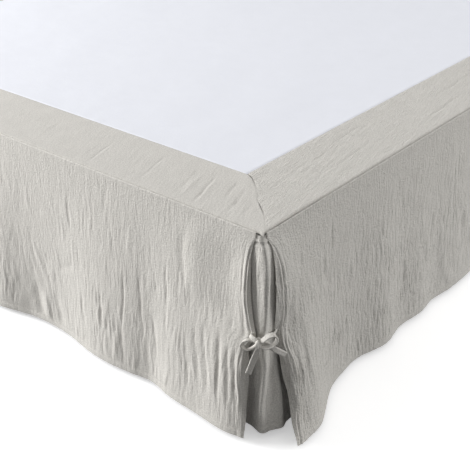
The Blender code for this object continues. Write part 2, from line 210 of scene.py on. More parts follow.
# How far the mitre seam wanders towards the side border.
# Columns: distance in from the edge of the bed, drift.
MITRE_DRIFT = (
    (0.000, 0.000),
    (0.008, 0.004),
    (0.020, 0.009),
    (0.047, 0.012),
    (0.075, 0.008),
    (0.104, 0.011),
    (0.130, 0.009),
    (0.142, 0.002),
)
LIP_RADIUS = 0.0020
BAND_ROLL = 0.0022
BAND_THICKNESS = 0.0010
GUSSET_REACH = 0.095
GUSSET_INSET = 0.0018
GUSSET_RADIUS = 0.006
GUSSET_NOSE_WIDTH = 0.012
GUSSET_SIDE_WIDTH = 0.010
GUSSET_BACK_SHARE = 0.5
GUSSET_BACK_RISE = 0.010
GUSSET_BACK_END = 0.026
GUSSET_BACK_FALL = 0.016
GUSSET_SIDE_FLARE = 0.020
GUSSET_FLARE_REACH = 0.030
GUSSET_FLARE_POWER = 3.0
GUSSET_HEM_LIFT = 0.004

# Sewing and the fine build of the cloth
STITCH_INSET = 0.0015
STITCH_SHARE = 0.72
THREAD_RADIUS = 0.00028
EDGE_INSET = 0.0034
TIE_STEPS = 7
TIE_SIDES = 14

# Main creases, each a straight soft line in the cloth.
# Columns: where it starts as distance along the edge and height above the floor, where it
# ends, its half width, and how far it stands out of the cloth, less than 0 for a trough.
FOOT_CREASES = (
    (0.1280, 0.352, 0.1180, 0.205, 0.0200, 0.0018),
    (0.0500, 0.352, 0.0480, 0.175, 0.0340, -0.0042),
    (0.153, 0.330, 0.149, 0.220, 0.0060, -0.0011),
    (0.0760, 0.190, 0.0720, 0.035, 0.0030, -0.0020),
    (0.0840, 0.180, 0.0800, 0.040, 0.0040, 0.0010),
    (0.1090, 0.182, 0.0910, 0.050, 0.0034, -0.0014),
    (0.1000, 0.170, 0.0860, 0.060, 0.0036, 0.0008),
    (0.1260, 0.175, 0.1120, 0.060, 0.0032, -0.0011),
    (0.0580, 0.178, 0.0530, 0.040, 0.0028, -0.0014),
    (0.0660, 0.175, 0.0620, 0.045, 0.0034, 0.0009),
    (0.0440, 0.172, 0.0430, 0.070, 0.0028, -0.0018),
    (0.1420, 0.150, 0.1350, 0.045, 0.0040, -0.0014),
    (0.1885, 0.262, 0.1850, 0.100, 0.0028, -0.0011),
    (0.2180, 0.155, 0.2080, 0.050, 0.0030, -0.0011),
    (0.2330, 0.150, 0.2230, 0.055, 0.0040, 0.0008),
    (0.2460, 0.215, 0.2430, 0.115, 0.0030, -0.0012),
    (0.2790, 0.200, 0.2830, 0.085, 0.0022, -0.0014),
    (0.2852, 0.095, 0.2806, 0.022, 0.0034, -0.0012),
    (0.2980, 0.085, 0.2960, 0.020, 0.0050, 0.0016),
    (0.3350, 0.150, 0.3300, 0.060, 0.0032, -0.0013),
    (0.3120, 0.345, 0.3200, 0.285, 0.0040, -0.0006),
    (0.4080, 0.295, 0.4080, 0.225, 0.0024, -0.0012),
    (0.4540, 0.138, 0.4000, 0.163, 0.0035, -0.0012),
    (0.3850, 0.120, 0.3760, 0.050, 0.0036, -0.0015),
    (0.4650, 0.090, 0.4400, 0.015, 0.0080, -0.0018),
    (0.5150, 0.085, 0.5000, 0.012, 0.0080, -0.0020),
    (0.4900, 0.080, 0.4800, 0.012, 0.0080, 0.0018),
    (0.0540, 0.0865, 0.0360, 0.0965, 0.0016, -0.0012),
    (0.0720, 0.2010, 0.0370, 0.1900, 0.0018, -0.0013),
    (0.0640, 0.1830, 0.0370, 0.1880, 0.0016, -0.0011),
)
SIDE_CREASES = (
    (0.0880, 0.310, 0.0620, 0.190, 0.0050, -0.0014),
    (0.0700, 0.300, 0.0520, 0.200, 0.0040, 0.0012),
    (0.0620, 0.185, 0.0700, 0.050, 0.0050, -0.0014),
    (0.0520, 0.175, 0.0520, 0.040, 0.0045, 0.0012),
    (0.1000, 0.220, 0.0920, 0.060, 0.0060, -0.0012),
    (0.1705, 0.315, 0.1745, 0.250, 0.0026, -0.0020),
    (0.1460, 0.290, 0.1500, 0.200, 0.0030, -0.0011),
    (0.2150, 0.168, 0.2235, 0.090, 0.0032, -0.0013),
    (0.2600, 0.270, 0.2620, 0.190, 0.0030, -0.0010),
    (0.3400, 0.240, 0.3440, 0.120, 0.0035, -0.0010),
    (0.3980, 0.170, 0.4010, 0.060, 0.0060, -0.0014),
    (0.4990, 0.205, 0.4935, 0.135, 0.0034, -0.0016),
    (0.6130, 0.175, 0.6080, 0.095, 0.0046, -0.0034),
    (0.6210, 0.165, 0.6180, 0.100, 0.0040, 0.0014),
    (0.7600, 0.230, 0.7560, 0.110, 0.0050, -0.0016),
    (0.0520, 0.2000, 0.0300, 0.1910, 0.0022, -0.0013),
    (0.0520, 0.1820, 0.0300, 0.1880, 0.0020, -0.0012),
)
# The same columns, in world x and y on the top of the border
BAND_CREASES = (
    (0.5252, -0.844, 0.5589, -0.941, 0.0016, -0.0009),
    (0.5320, -0.846, 0.5640, -0.938, 0.0020, 0.0005),
    (0.5632, -0.832, 0.5869, -0.901, 0.0016, -0.0008),
    (0.5900, -0.850, 0.6090, -0.905, 0.0015, -0.0006),
    (0.6030, -0.880, 0.6150, -0.928, 0.0016, -0.0010),
    (0.6240, -0.870, 0.6400, -0.925, 0.0015, -0.0007),
    (0.5000, -0.840, 0.5300, -0.935, 0.0024, 0.0006),
    (0.4850, -0.835, 0.5120, -0.915, 0.0016, -0.0006),
    (0.4100, -0.830, 0.4400, -0.930, 0.0018, -0.0006),
    (0.3050, -0.850, 0.3300, -0.935, 0.0018, -0.0006),
    (0.1700, -0.850, 0.2000, -0.935, 0.0018, -0.0006),
    (0.5698, -0.808, 0.6051, -0.8206, 0.0016, -0.0010),
    (0.5900, -0.815, 0.6300, -0.8350, 0.0018, 0.0006),
    (0.6124, -0.720, 0.6030, -0.6366, 0.0018, -0.0007),
    (0.5960, -0.640, 0.5860, -0.520, 0.0020, -0.0006),
    (0.6500, -0.700, 0.6380, -0.560, 0.0018, -0.0006),
    (0.6620, -0.420, 0.6500, -0.260, 0.0026, -0.0007),
    (0.6180, -0.300, 0.6060, -0.120, 0.0026, -0.0007),
)
# The same columns, with the distance round the corner from its middle in place of the first
GUSSET_CREASES = (
    (0.0010, 0.345, 0.0000, 0.215, 0.0030, 0.0010),
    (-0.0125, 0.345, -0.0120, 0.215, 0.0022, -0.0014),
    (-0.0080, 0.335, -0.0085, 0.225, 0.0018, 0.0010),
    (0.0150, 0.345, 0.0160, 0.210, 0.0030, -0.0008),
    (0.0060, 0.170, 0.0000, 0.020, 0.0040, 0.0016),
    (-0.0040, 0.160, -0.0100, 0.020, 0.0050, -0.0022),
    (-0.0200, 0.170, -0.0230, 0.010, 0.0090, -0.0045),
    (0.0180, 0.150, 0.0160, 0.020, 0.0050, -0.0018),
    (0.0260, 0.120, 0.0300, 0.008, 0.0060, 0.0022),
    (-0.0280, 0.120, -0.0320, 0.008, 0.0060, 0.0020),
)

# The ties in the bow's own millimetres: across to the right, out from the corner, up.
# Columns: across, out, up, then the way that the strip's width points, as shares of the
# width of the tie. The strip is gathered narrower where it enters the knot.
LEAD_FOOT = (
    (-9.0, -16.5, 6.0, 0.00, 0.10, 0.60),
    (-12.5, -15.5, 6.0, 0.10, 0.10, 0.55),
    (-14.5, -11.0, 7.0, 0.25, 0.10, 0.55),
    (-13.5, -5.5, 8.0, 0.35, 0.05, 0.65),
    (-9.5, -0.5, 7.0, 0.42, 0.10, 0.70),
    (-4.0, 3.0, 3.0, 0.45, 0.00, 0.65),
)
LOOP_RIGHT = (
    (-2.5, 3.5, 2.0, 0.00, 0.50, 0.10),
    (4.0, 5.0, 9.5, 0.20, 0.85, -0.35),
    (11.0, 5.0, 16.0, 0.22, 0.85, -0.38),
    (18.0, 5.0, 18.5, 0.28, 0.85, -0.30),
    (23.0, 5.5, 15.0, 0.40, 0.82, -0.15),
    (22.5, 7.0, 7.5, 0.40, 0.85, 0.00),
    (16.0, 9.0, 1.5, 0.20, 0.90, 0.00),
    (7.0, 8.5, -1.5, 0.00, 0.95, 0.00),
    (-2.5, 3.5, -3.0, 0.00, 0.50, 0.10),
)
TAIL_LEFT = (
    (-3.0, 3.0, -3.0, 0.60, 0.00, -0.20),
    (-6.0, 3.0, -16.0, 0.93, 0.10, -0.35),
    (-11.0, 1.0, -32.0, 0.93, 0.10, -0.35),
    (-17.5, 0.0, -54.0, 0.93, 0.10, -0.35),
)
LEAD_SIDE = (
    (25.5, -36.0, 0.0, 0.00, 0.00, 0.60),
    (24.0, -33.0, 0.0, 0.00, 0.00, 0.55),
    (20.0, -26.0, -1.0, 0.00, 0.00, 0.55),
    (13.0, -16.0, -1.0, 0.00, 0.00, 0.65),
    (-2.0, -7.6, 0.0, 0.00, 0.00, 0.70),
)
LOOP_LEFT = (
    (-4.0, -7.6, 2.6, 0.00, 0.35, 0.05),
    (-10.0, -6.0, 1.0, -0.05, 0.85, 0.05),
    (-18.0, -4.5, 3.5, -0.10, 0.88, 0.10),
    (-25.5, -4.0, 0.5, -0.40, 0.85, 0.10),
    (-27.5, -4.0, -7.0, -0.40, 0.85, 0.15),
    (-19.0, -4.5, -14.0, 0.00, 0.90, 0.20),
    (-9.0, -6.0, -9.5, 0.10, 0.90, 0.15),
    (-4.0, -7.6, -2.6, 0.00, 0.35, 0.00),
)
TAIL_RIGHT = (
    (-2.0, -7.6, -1.0, 0.10, 0.00, 0.60),
    (9.0, -3.0, -4.0, 0.40, -0.20, 0.80),
    (22.0, -1.0, -11.5, 0.45, -0.35, 0.82),
    (37.0, -4.0, -23.0, 0.50, -0.35, 0.82),
)
# Radii of each tie's part of the knot, and where it lies: across, out, up, in millimetres
KNOT_FOOT = ((4.4, 5.0, 8.6), (-3.6, 5.4, 0.6))
KNOT_SIDE = ((5.5, 2.6, 5.5), (-3.0, -7.6, 0.0))
BOW_ALONG_FOOT = -0.009
BOW_ALONG_SIDE = -0.014
BOW_HEIGHT = 0.190
BOW_TURN = math.radians(39.3)

# Camera of the photograph
CAMERA_PLACE = (1.39545, -1.8621, 0.99245)
CAMERA_AIM = (-0.5544, 0.6781, -0.4825)
CAMERA_LENS = 72.6
CAMERA_SENSOR = 36.0

# Soft lights of the studio, all aimed at the foot corner
LAMP_TARGET = (0.62, -0.75, 0.25)
LAMP_DISTANCE = 4.0
LAMP_SIZE = 2.2
LAMP_HEIGHT = 12
KEY_COMPASS = 205
SIDE_COMPASS = 45
FLOOR_REACH = 9.0

# How strongly each cloth is crumpled, and how far its furrows turn from the length of the bed
FOOT_CRUMPLE = 1.0
SIDE_CRUMPLE = 2.2
FOOT_BAND_CRUMPLE = 0.30
SIDE_BAND_CRUMPLE = 0.55
FOOT_BAND_SKEW = math.radians(19)
SIDE_BAND_SKEW = math.radians(9)


def linear(code):
    """Turn an sRGB hex colour into linear red, green and blue."""
    channels = [int(code[i : i + 2], 16) / 255 for i in (1, 3, 5)]
    return tuple(c / 12.92 if c <= 0.04045 else ((c + 0.055) / 1.055) ** 2.4 for c in channels)


def length_setting(name, description, default):
    """A setting in metres."""
    return bpy.props.FloatProperty(
        name=name, description=description, default=default, unit="LENGTH"
    )


def colour_setting(name, description, code):
    """A colour setting, from its sRGB hex code."""
    return bpy.props.FloatVectorProperty(
        name=name, description=description, subtype="COLOR", default=linear(code)
    )


class SkirtSizes(bpy.types.PropertyGroup):
    """Sizes of the cloth, its crinkle and its sewing."""

    cloth_thickness: length_setting(
        "Cloth thickness", "Thickness of the double gauze", 0.0014
    )
    crinkle_spacing: length_setting(
        "Crinkle spacing", "Usual distance from one wrinkle of the gauze to the next", 0.0056
    )
    crinkle_length: length_setting(
        "Crinkle length", "Usual length of one wrinkle of the gauze", 0.055
    )
    crinkle_depth: length_setting(
        "Crinkle depth", "Depth of the wrinkles where they are strongest", 0.0022
    )
    hem_depth: length_setting(
        "Hem depth", "Depth of the folded hem along the bottom of each panel", 0.012
    )
    stitch_pitch: length_setting(
        "Stitch pitch", "Distance from one stitch to the next", 0.0035
    )
    tie_width: length_setting(
        "Tie width", "Width of the folded ties", 0.009
    )
    tie_thickness: length_setting(
        "Tie thickness", "Thickness of the folded ties", 0.0026
    )


class ClothColours(bpy.types.PropertyGroup):
    """Colours of the cloths, the thread, the base and its legs."""

    face: colour_setting(
        "Face cloth", "Colour of the crinkled gauze", "#c9c6c0"
    )
    deck: colour_setting(
        "Deck cloth", "Colour of the plain cloth inside the border", "#e8eaf1"
    )
    thread: colour_setting(
        "Thread", "Colour of the sewing thread", "#bdb9b2"
    )
    base: colour_setting(
        "Base cover", "Colour of the cover of the bed base", "#cbc8c2"
    )
    leg: colour_setting(
        "Legs", "Colour of the oiled beech legs", "#ad8c66"
    )


class StudioLight(bpy.types.PropertyGroup):
    """Strength of the studio's lights."""

    sky: bpy.props.FloatProperty(
        name="Room light",
        description="Strength of the even white light from above",
        default=0.55,
    )
    key: bpy.props.FloatProperty(
        name="Key light",
        description="Power of the low soft light to the left of the foot end",
        default=257.0,
        unit="POWER",
    )
    back: bpy.props.FloatProperty(
        name="Side light",
        description="Power of the soft light along the right side",
        default=106.0,
        unit="POWER",
    )


def lattice(column, row, seed):
    """A repeatable random angle at each point of a square lattice."""
    mixed = (column * 374761393 + row * 668265263 + seed * 362437) & 0xFFFFFFFF
    mixed = ((mixed ^ (mixed >> 13)) * 1274126177) & 0xFFFFFFFF
    return ((mixed ^ (mixed >> 16)) & 0xFFFF) / 65536 * 2 * math.pi


def noise(x, y, seed):
    """Smooth gradient noise from about -1 to 1 that is the same on each run."""
    x, y = np.broadcast_arrays(x, y)
    left, low = np.floor(x).astype(np.int64), np.floor(y).astype(np.int64)
    u, v = x - left, y - low
    ease_u = u**3 * (u * (u * 6 - 15) + 10)
    ease_v = v**3 * (v * (v * 6 - 15) + 10)
    corners = []
    for step_v in (0, 1):
        for step_u in (0, 1):
            angle = lattice(left + step_u, low + step_v, seed)
            corners.append(np.cos(angle) * (u - step_u) + np.sin(angle) * (v - step_v))
    near = corners[0] + ease_u * (corners[1] - corners[0])
    far = corners[2] + ease_u * (corners[3] - corners[2])
    return 1.5 * (near + ease_v * (far - near))


def smooth(x):
    """Ease from 0 to 1 as x goes from 0 to 1."""
    x = np.clip(x, 0, 1)
    return x * x * (3 - 2 * x)


def read_table(rows, at):
    """Read a table at values of its first column, on a smooth curve through its rows."""
    table = np.array(rows, float)
    keys, values = table[:, 0], table[:, 1:]
    before = np.maximum(np.arange(len(keys)) - 1, 0)
    after = np.minimum(np.arange(len(keys)) + 1, len(keys) - 1)
    slopes = (values[after] - values[before]) / (keys[after] - keys[before])[:, None]
    at = np.clip(np.asarray(at, float), keys[0], keys[-1])
    left = np.clip(np.searchsorted(keys, at, side="right") - 1, 0, len(keys) - 2)
    span = keys[left + 1] - keys[left]
    share = ((at - keys[left]) / span)[..., None]
    span = span[..., None]
    rise = share * share * (3 - 2 * share)
    result = values[left] * (1 - rise) + values[left + 1] * rise
    result = result + span * slopes[left] * share * (1 - share) ** 2
    return result - span * slopes[left + 1] * share**2 * (1 - share)


def creases(table, along, height):
    """How far the listed creases move the cloth, at each of its points."""
    moved = np.zeros(np.broadcast(along, height).shape)
    for start, high, end, low, half_width, depth in table:
        run = np.array((end - start, low - high))
        length = np.linalg.norm(run)
        run /= length
        from_start = (along - start) * run[0] + (height - high) * run[1]
        aside = (along - start) * run[1] - (height - high) * run[0]
        aside = aside + 0.35 * half_width * np.sin(from_start / (5 * half_width))
        share = from_start / length
        fade = smooth(share / 0.3) * smooth((1 - share) / 0.3)
        moved += depth * fade * np.exp(-((aside / half_width) ** 2))
    return moved


def crinkle(across, along, spacing, length, seed):
    """Furrows of double gauze: round ridges between thin, wandering valleys, about 0."""
    wander = 0.8 * noise(across / (8 * spacing), along / (0.8 * length), seed)
    broad = noise(across / (2.4 * spacing) + 0.5 * wander, along / (1.4 * length), seed + 1)
    narrow = noise(across / spacing + wander, along / length, seed + 2)
    patch = 0.62 + 0.60 * noise(across / (11 * spacing), along / (1.1 * length), seed + 3)
    ridges = 0.45 * np.sqrt(np.abs(broad)) + 0.55 * np.sqrt(np.abs(narrow))
    return np.clip(patch, 0.12, 1.2) * (ridges - 0.55)


class Edge:
    """One edge of the bed: where it starts, the way along it and the way out of it."""

    def __init__(self, start, along, out, length):
        self.start = np.array((*start, 0.0))
        self.along = np.array((*along, 0.0))
        self.out = np.array((*out, 0.0))
        self.length = length

    def points(self, along, out, height):
        """World points from distances along the edge, stand-outs and heights."""
        along, out, height = (a[..., None] for a in np.broadcast_arrays(along, out, height))
        return self.start + self.along * along + self.out * out + np.array((0, 0, 1)) * height


FOOT_EDGE = Edge((HALF_WIDTH, FOOT_END), (-1, 0), (0, -1), 2 * HALF_WIDTH)
RIGHT_EDGE = Edge((HALF_WIDTH, FOOT_END), (0, 1), (1, 0), SIDE_LENGTH)
LEFT_EDGE = Edge((-HALF_WIDTH, FOOT_END), (0, 1), (-1, 0), SIDE_LENGTH)


def grid_normals(points):
    """Unit normals of a grid of points, by its columns crossed with its rows."""
    down = np.gradient(points, axis=0)
    across = np.gradient(points, axis=1)
    normals = np.cross(across, down)
    return normals / np.linalg.norm(normals, axis=-1, keepdims=True)


def facing(points, way):
    """Unit normals of a grid of points, turned so that most of them look a given way."""
    normals = grid_normals(points)
    toward = way(points, normals) if callable(way) else (normals @ np.array(way, float)).mean()
    return normals if toward > 0 else -normals


def link(name, data, material):
    """Put a piece in the scene with its material and its body."""
    made = bpy.data.objects.new(name, data)
    made.data.materials.append(material)
    bpy.context.scene.collection.objects.link(made)
    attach(made, BODY)
    return made


def sheet_mesh(name, outer, normals, thickness, cloth):
    """A closed cloth sheet from a grid of its outer points, with cloth coordinates."""
    rows, columns = outer.shape[:2]
    inner = outer - normals * thickness
    count = rows * columns
    numbers = np.arange(count).reshape(rows, columns)
    quads = np.stack(
        (numbers[:-1, :-1], numbers[:-1, 1:], numbers[1:, 1:], numbers[1:, :-1]), axis=-1
    ).reshape(-1, 4)
    ring = np.concatenate(
        (numbers[0, :-1], numbers[:-1, -1], numbers[-1, :0:-1], numbers[:0:-1, 0])
    )
    following = np.roll(ring, -1)
    rim = np.stack((following, ring, ring + count, following + count), axis=-1)
    faces = np.concatenate((quads, quads[:, ::-1] + count, rim))
    middle = (rows // 2, columns // 2)
    across = outer[middle[0], middle[1] + 1] - outer[middle]
    down = outer[middle[0] + 1, middle[1]] - outer[middle]
    if np.cross(across, down) @ normals[middle] < 0:
        faces = faces[:, ::-1]
    data = bpy.data.meshes.new(name)
    places = np.concatenate((outer.reshape(-1, 3), inner.reshape(-1, 3)))
    data.from_pydata(places.tolist(), [], faces.tolist())
    flat = cloth.reshape(-1, 2)[faces.ravel() % count]
    layer = data.uv_layers.new(name=CLOTH_MAP)
    layer.uv.foreach_set("vector", flat.astype(np.float32).ravel())
    data.shade_smooth()
    data.set_sharp_from_angle(angle=math.radians(75))
    return data


def graded(start, end, fine, coarse, fine_end):
    """Places from start to end, a fine step apart up to fine_end and a coarse one past it."""
    near = np.linspace(start, fine_end, round((fine_end - start) / fine) + 1)
    far = np.linspace(fine_end, end, round((end - fine_end) / coarse) + 1)
    return np.concatenate((near, far[1:]))


def panel_shares():
    """Rows of a hanging panel, closer together at the seam and at the hem."""
    top = np.linspace(0.0, 0.05, 5)
    middle = np.linspace(0.05, 0.95, 48)
    hem = np.linspace(0.95, 1.0, 9)
    return np.concatenate((top, middle[1:], hem[1:]))


def lip_rows():
    """The top of a panel, from its folded lip down to the seam: stand-out and height."""
    centre = TOP - LIP_RADIUS
    angles = np.radians(np.linspace(82, 0, 8))
    out = LIP_RADIUS * (np.cos(angles) - 1)
    height = centre + LIP_RADIUS * np.sin(angles)
    return out, height


def slit_edge(slit, share):
    """Of each row: the distance of the folded edge from the corner, and the table's values."""
    edge, out, turn, roll, radius = (read_table(slit, share)[:, i][:, None] for i in range(5))
    roll = np.radians(np.maximum(roll, 1.0))
    radius = np.minimum(radius, 0.9 * turn / roll)
    start = edge + radius * np.sin(roll) + (turn - radius * roll) * np.cos(roll)
    return start, out, turn, roll, radius


def panel_section(share, slit, hem, length, slit_at_end, places, turns):
    """Along, stand-out and cloth distance of every point of a panel, row by row."""
    start, out, turn, roll, radius = slit_edge(slit, share)
    bent = radius * roll
    run = turns[None, :] * turn
    angle = np.minimum(run / radius, roll)
    past = np.maximum(run - bent, 0.0)
    strip_along = start - radius * np.sin(angle) - past * np.cos(roll)
    strip_out = out - radius * (1 - np.cos(angle)) - past * np.sin(roll)

    def hang(along, level):
        return read_table(hem, along)[..., 0] * level[:, None] ** FLARE_POWER

    # Far from the slit the cloth only follows the mean pull of the rows above and below
    blurs = np.linspace(-PULL_BLUR, PULL_BLUR, 9)
    mean_start, mean_lift = 0.0, 0.0
    for blur in blurs:
        level = np.clip(share + blur, 0.0, 1.0)
        near_start, near_out = slit_edge(slit, level)[:2]
        mean_start = mean_start + near_start / len(blurs)
        mean_lift = mean_lift + (near_out - hang(near_start, level)) / len(blurs)

    def shift(inside):
        near = (start - mean_start) * np.exp(-inside / FOLD_REACH)
        return near + (mean_start - PANEL_START) * np.exp(-inside / PULL_REACH)

    def lift(inside):
        near = (out - hang(start, share) - mean_lift) * np.exp(-((inside / FOLD_REACH) ** 2))
        return near + mean_lift * np.exp(-((inside / LIFT_REACH) ** 2))

    place = places[None, :]
    along = place + shift(place - PANEL_START)
    if slit_at_end:
        along = along - shift(length - PANEL_START - place)
    stand = hang(along, share) + lift(along - start)
    if slit_at_end:
        stand = stand + lift(length - start - along)
    cloth = np.broadcast_to(place, along.shape)
    strip_cloth = PANEL_START - run
    alongs, stands, cloths = [strip_along, along], [strip_out, stand], [strip_cloth, cloth]
    if slit_at_end:
        alongs.append(length - strip_along[:, ::-1])
        stands.append(strip_out[:, ::-1])
        cloths.append(length - strip_cloth[:, ::-1])
    return (np.concatenate(parts, axis=1) for parts in (alongs, stands, cloths))


def hem_fold(run, hem_line, hem_depth):
    """How far a folded hem stands proud of the cloth, with the groove of its stitching."""
    above = run - hem_line - hem_depth
    fold = 1 - smooth(above / 0.0012 + 1)
    groove = np.exp(-(((above + STITCH_INSET) / 0.0012) ** 2))
    return 0.0007 * fold - 0.0008 * groove


def add_drop(name, edge, slit, hem, slit_at_end, crease_table, lip_groove, crumple, seed, sizes,
             material):
    """One hanging panel of crinkled gauze, with its turned slit edges and its folded hem."""
    share = panel_shares()
    lip_out, lip_height = lip_rows()
    share = np.concatenate((np.zeros(len(lip_out)), share))
    turns = np.linspace(1.0, 0.04, 20)
    end = edge.length - PANEL_START if slit_at_end else edge.length
    fold = PANEL_START + np.arange(0, 0.0100, 0.0009)
    places = np.concatenate((fold, graded(fold[-1] + 0.0015, end, 0.0019, 0.0044, 0.60)))
    if slit_at_end:
        places = places[places < end - 0.0100]
        places = np.concatenate((places, end - (fold[::-1] - PANEL_START)))
    along, stand, cloth = panel_section(
        share, slit, hem, edge.length, slit_at_end, places, turns
    )
    height = PANEL_TOP - share * PANEL_HEIGHT
    height[: len(lip_out)] = lip_height
    stand[: len(lip_out)] += lip_out[:, None]
    height = np.broadcast_to(height[:, None], along.shape).copy()
    open_lip = read_table(lip_groove, along)[..., 0] * MILLIMETRE
    on_lip = smooth((height - TOP + LIP_RADIUS) / LIP_RADIUS)
    base = edge.points(along, stand, height)
    normals = facing(base, edge.out)
    run = height
    strength = 0.28 + 0.72 * smooth(share / 0.35) + 0.50 * smooth((share - 0.4) / 0.3)
    strength = strength[:, None]
    above_hem = smooth((run - HEM - sizes.hem_depth) / 0.010)
    # Near the foot's far half the furrows lean towards the corner on their way down
    lean = 0.24 * np.exp(-(((cloth - LEAN_PLACE) / 0.08) ** 2)) * (PANEL_TOP - run)
    texture = crinkle(cloth + lean, run, sizes.crinkle_spacing, sizes.crinkle_length, seed)
    moved = texture * crumple * sizes.crinkle_depth * strength * (0.45 + 0.55 * above_hem)
    moved += creases(crease_table, cloth, run)
    moved += hem_fold(run, HEM, sizes.hem_depth)
    moved += on_lip * open_lip * 0.35
    free = (smooth(share / 0.12) * (1 - 0.65 * smooth((share - 0.42) / 0.10)))[:, None]
    moved += free * slit_fold(cloth - PANEL_START)
    if slit_at_end:
        moved += free * slit_fold(end - cloth)
    outer = base + normals * moved[..., None]
    outer[..., 2] = np.maximum(outer[..., 2], HEM - 0.001)
    outer_normals = facing(outer, edge.out)
    data = sheet_mesh(name, outer, outer_normals, sizes.cloth_thickness,
                      np.stack((cloth, run), axis=-1))
    made = link(name, data, material)
    seam = stitch_line(outer, outer_normals, run, HEM + sizes.hem_depth - STITCH_INSET)
    stitches = add_stitches(name.replace("gauze", "stitches"), seam, sizes)
    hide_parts(name.removeprefix("gauze_"))
    return made


def slit_fold(inside):
    """The folded edge beside a slit stands proud, with a soft furrow on each side of it."""
    bead = 0.0008 * np.exp(-(((inside - 0.0008) / 0.0014) ** 2))
    groove = 0.0007 * np.exp(-(((inside - 0.0056) / 0.0013) ** 2))
    furrow = 0.0009 * np.exp(-(((inside + 0.0036) / 0.0013) ** 2))
    ridge = 0.0006 * np.exp(-(((inside + 0.0066) / 0.0016) ** 2))
    return bead - groove - furrow + ridge


def stitch_line(outer, normals, run, level):
    """The points and normals of a sheet where its rows pass a height, column by column."""
    row = int(np.argmin(np.abs(run[:, run.shape[1] // 2] - level)))
    return outer[row], normals[row]


def add_stitches(name, line, sizes):
    """A row of machine stitches that lies in the groove of a seam."""
    points, normals = line
    lengths = np.linalg.norm(np.diff(points, axis=0), axis=1)
    travel = np.concatenate(([0.0], np.cumsum(lengths)))
    count = int(travel[-1] / sizes.stitch_pitch)
    starts = (np.arange(count) + 0.5 * (1 - STITCH_SHARE)) * sizes.stitch_pitch
    at = starts[:, None] + np.linspace(0, STITCH_SHARE, 5)[None, :] * sizes.stitch_pitch
    lift = THREAD_RADIUS * np.array((-0.6, 0.7, 1.0, 0.7, -0.6))
    size = THREAD_RADIUS * np.array((0.55, 1.0, 1.0, 1.0, 0.55))
    middle = np.stack([np.interp(at, travel, points[:, k]) for k in range(3)], axis=-1)
    up = np.stack([np.interp(at, travel, normals[:, k]) for k in range(3)], axis=-1)
    up /= np.linalg.norm(up, axis=-1, keepdims=True)
    way = np.gradient(middle, axis=1)
    way /= np.linalg.norm(way, axis=-1, keepdims=True)
    aside = np.cross(way, up)
    middle = middle + up * lift[None, :, None]
    sides = 6
    angles = np.linspace(0, 2 * math.pi, sides, endpoint=False)
    ring = np.cos(angles)[:, None] * aside[:, :, None] + np.sin(angles)[:, None] * up[:, :, None]
    places = middle[:, :, None] + ring * size[None, :, None, None]
    rings = places.shape[1]
    faces = []
    for stitch in range(count):
        faces += tube_faces(rings, sides, stitch * rings * sides)
    data = bpy.data.meshes.new(name)
    data.from_pydata(places.reshape(-1, 3).tolist(), [], faces)
    data.shade_smooth()
    return link(name, data, thread_material())


def band_section(across, edge, drift, mitre_at_end, columns):
    """Distances along the edge of every point of a border, row by row, between its mitres."""
    start = (across + drift * read_table(MITRE_DRIFT, across)[:, 0])[:, None]
    t = columns[None, :] / edge.length
    along = columns[None, :] + start * (1 - t) ** 3
    if mitre_at_end:
        along = along - start * t**3
    return along, start


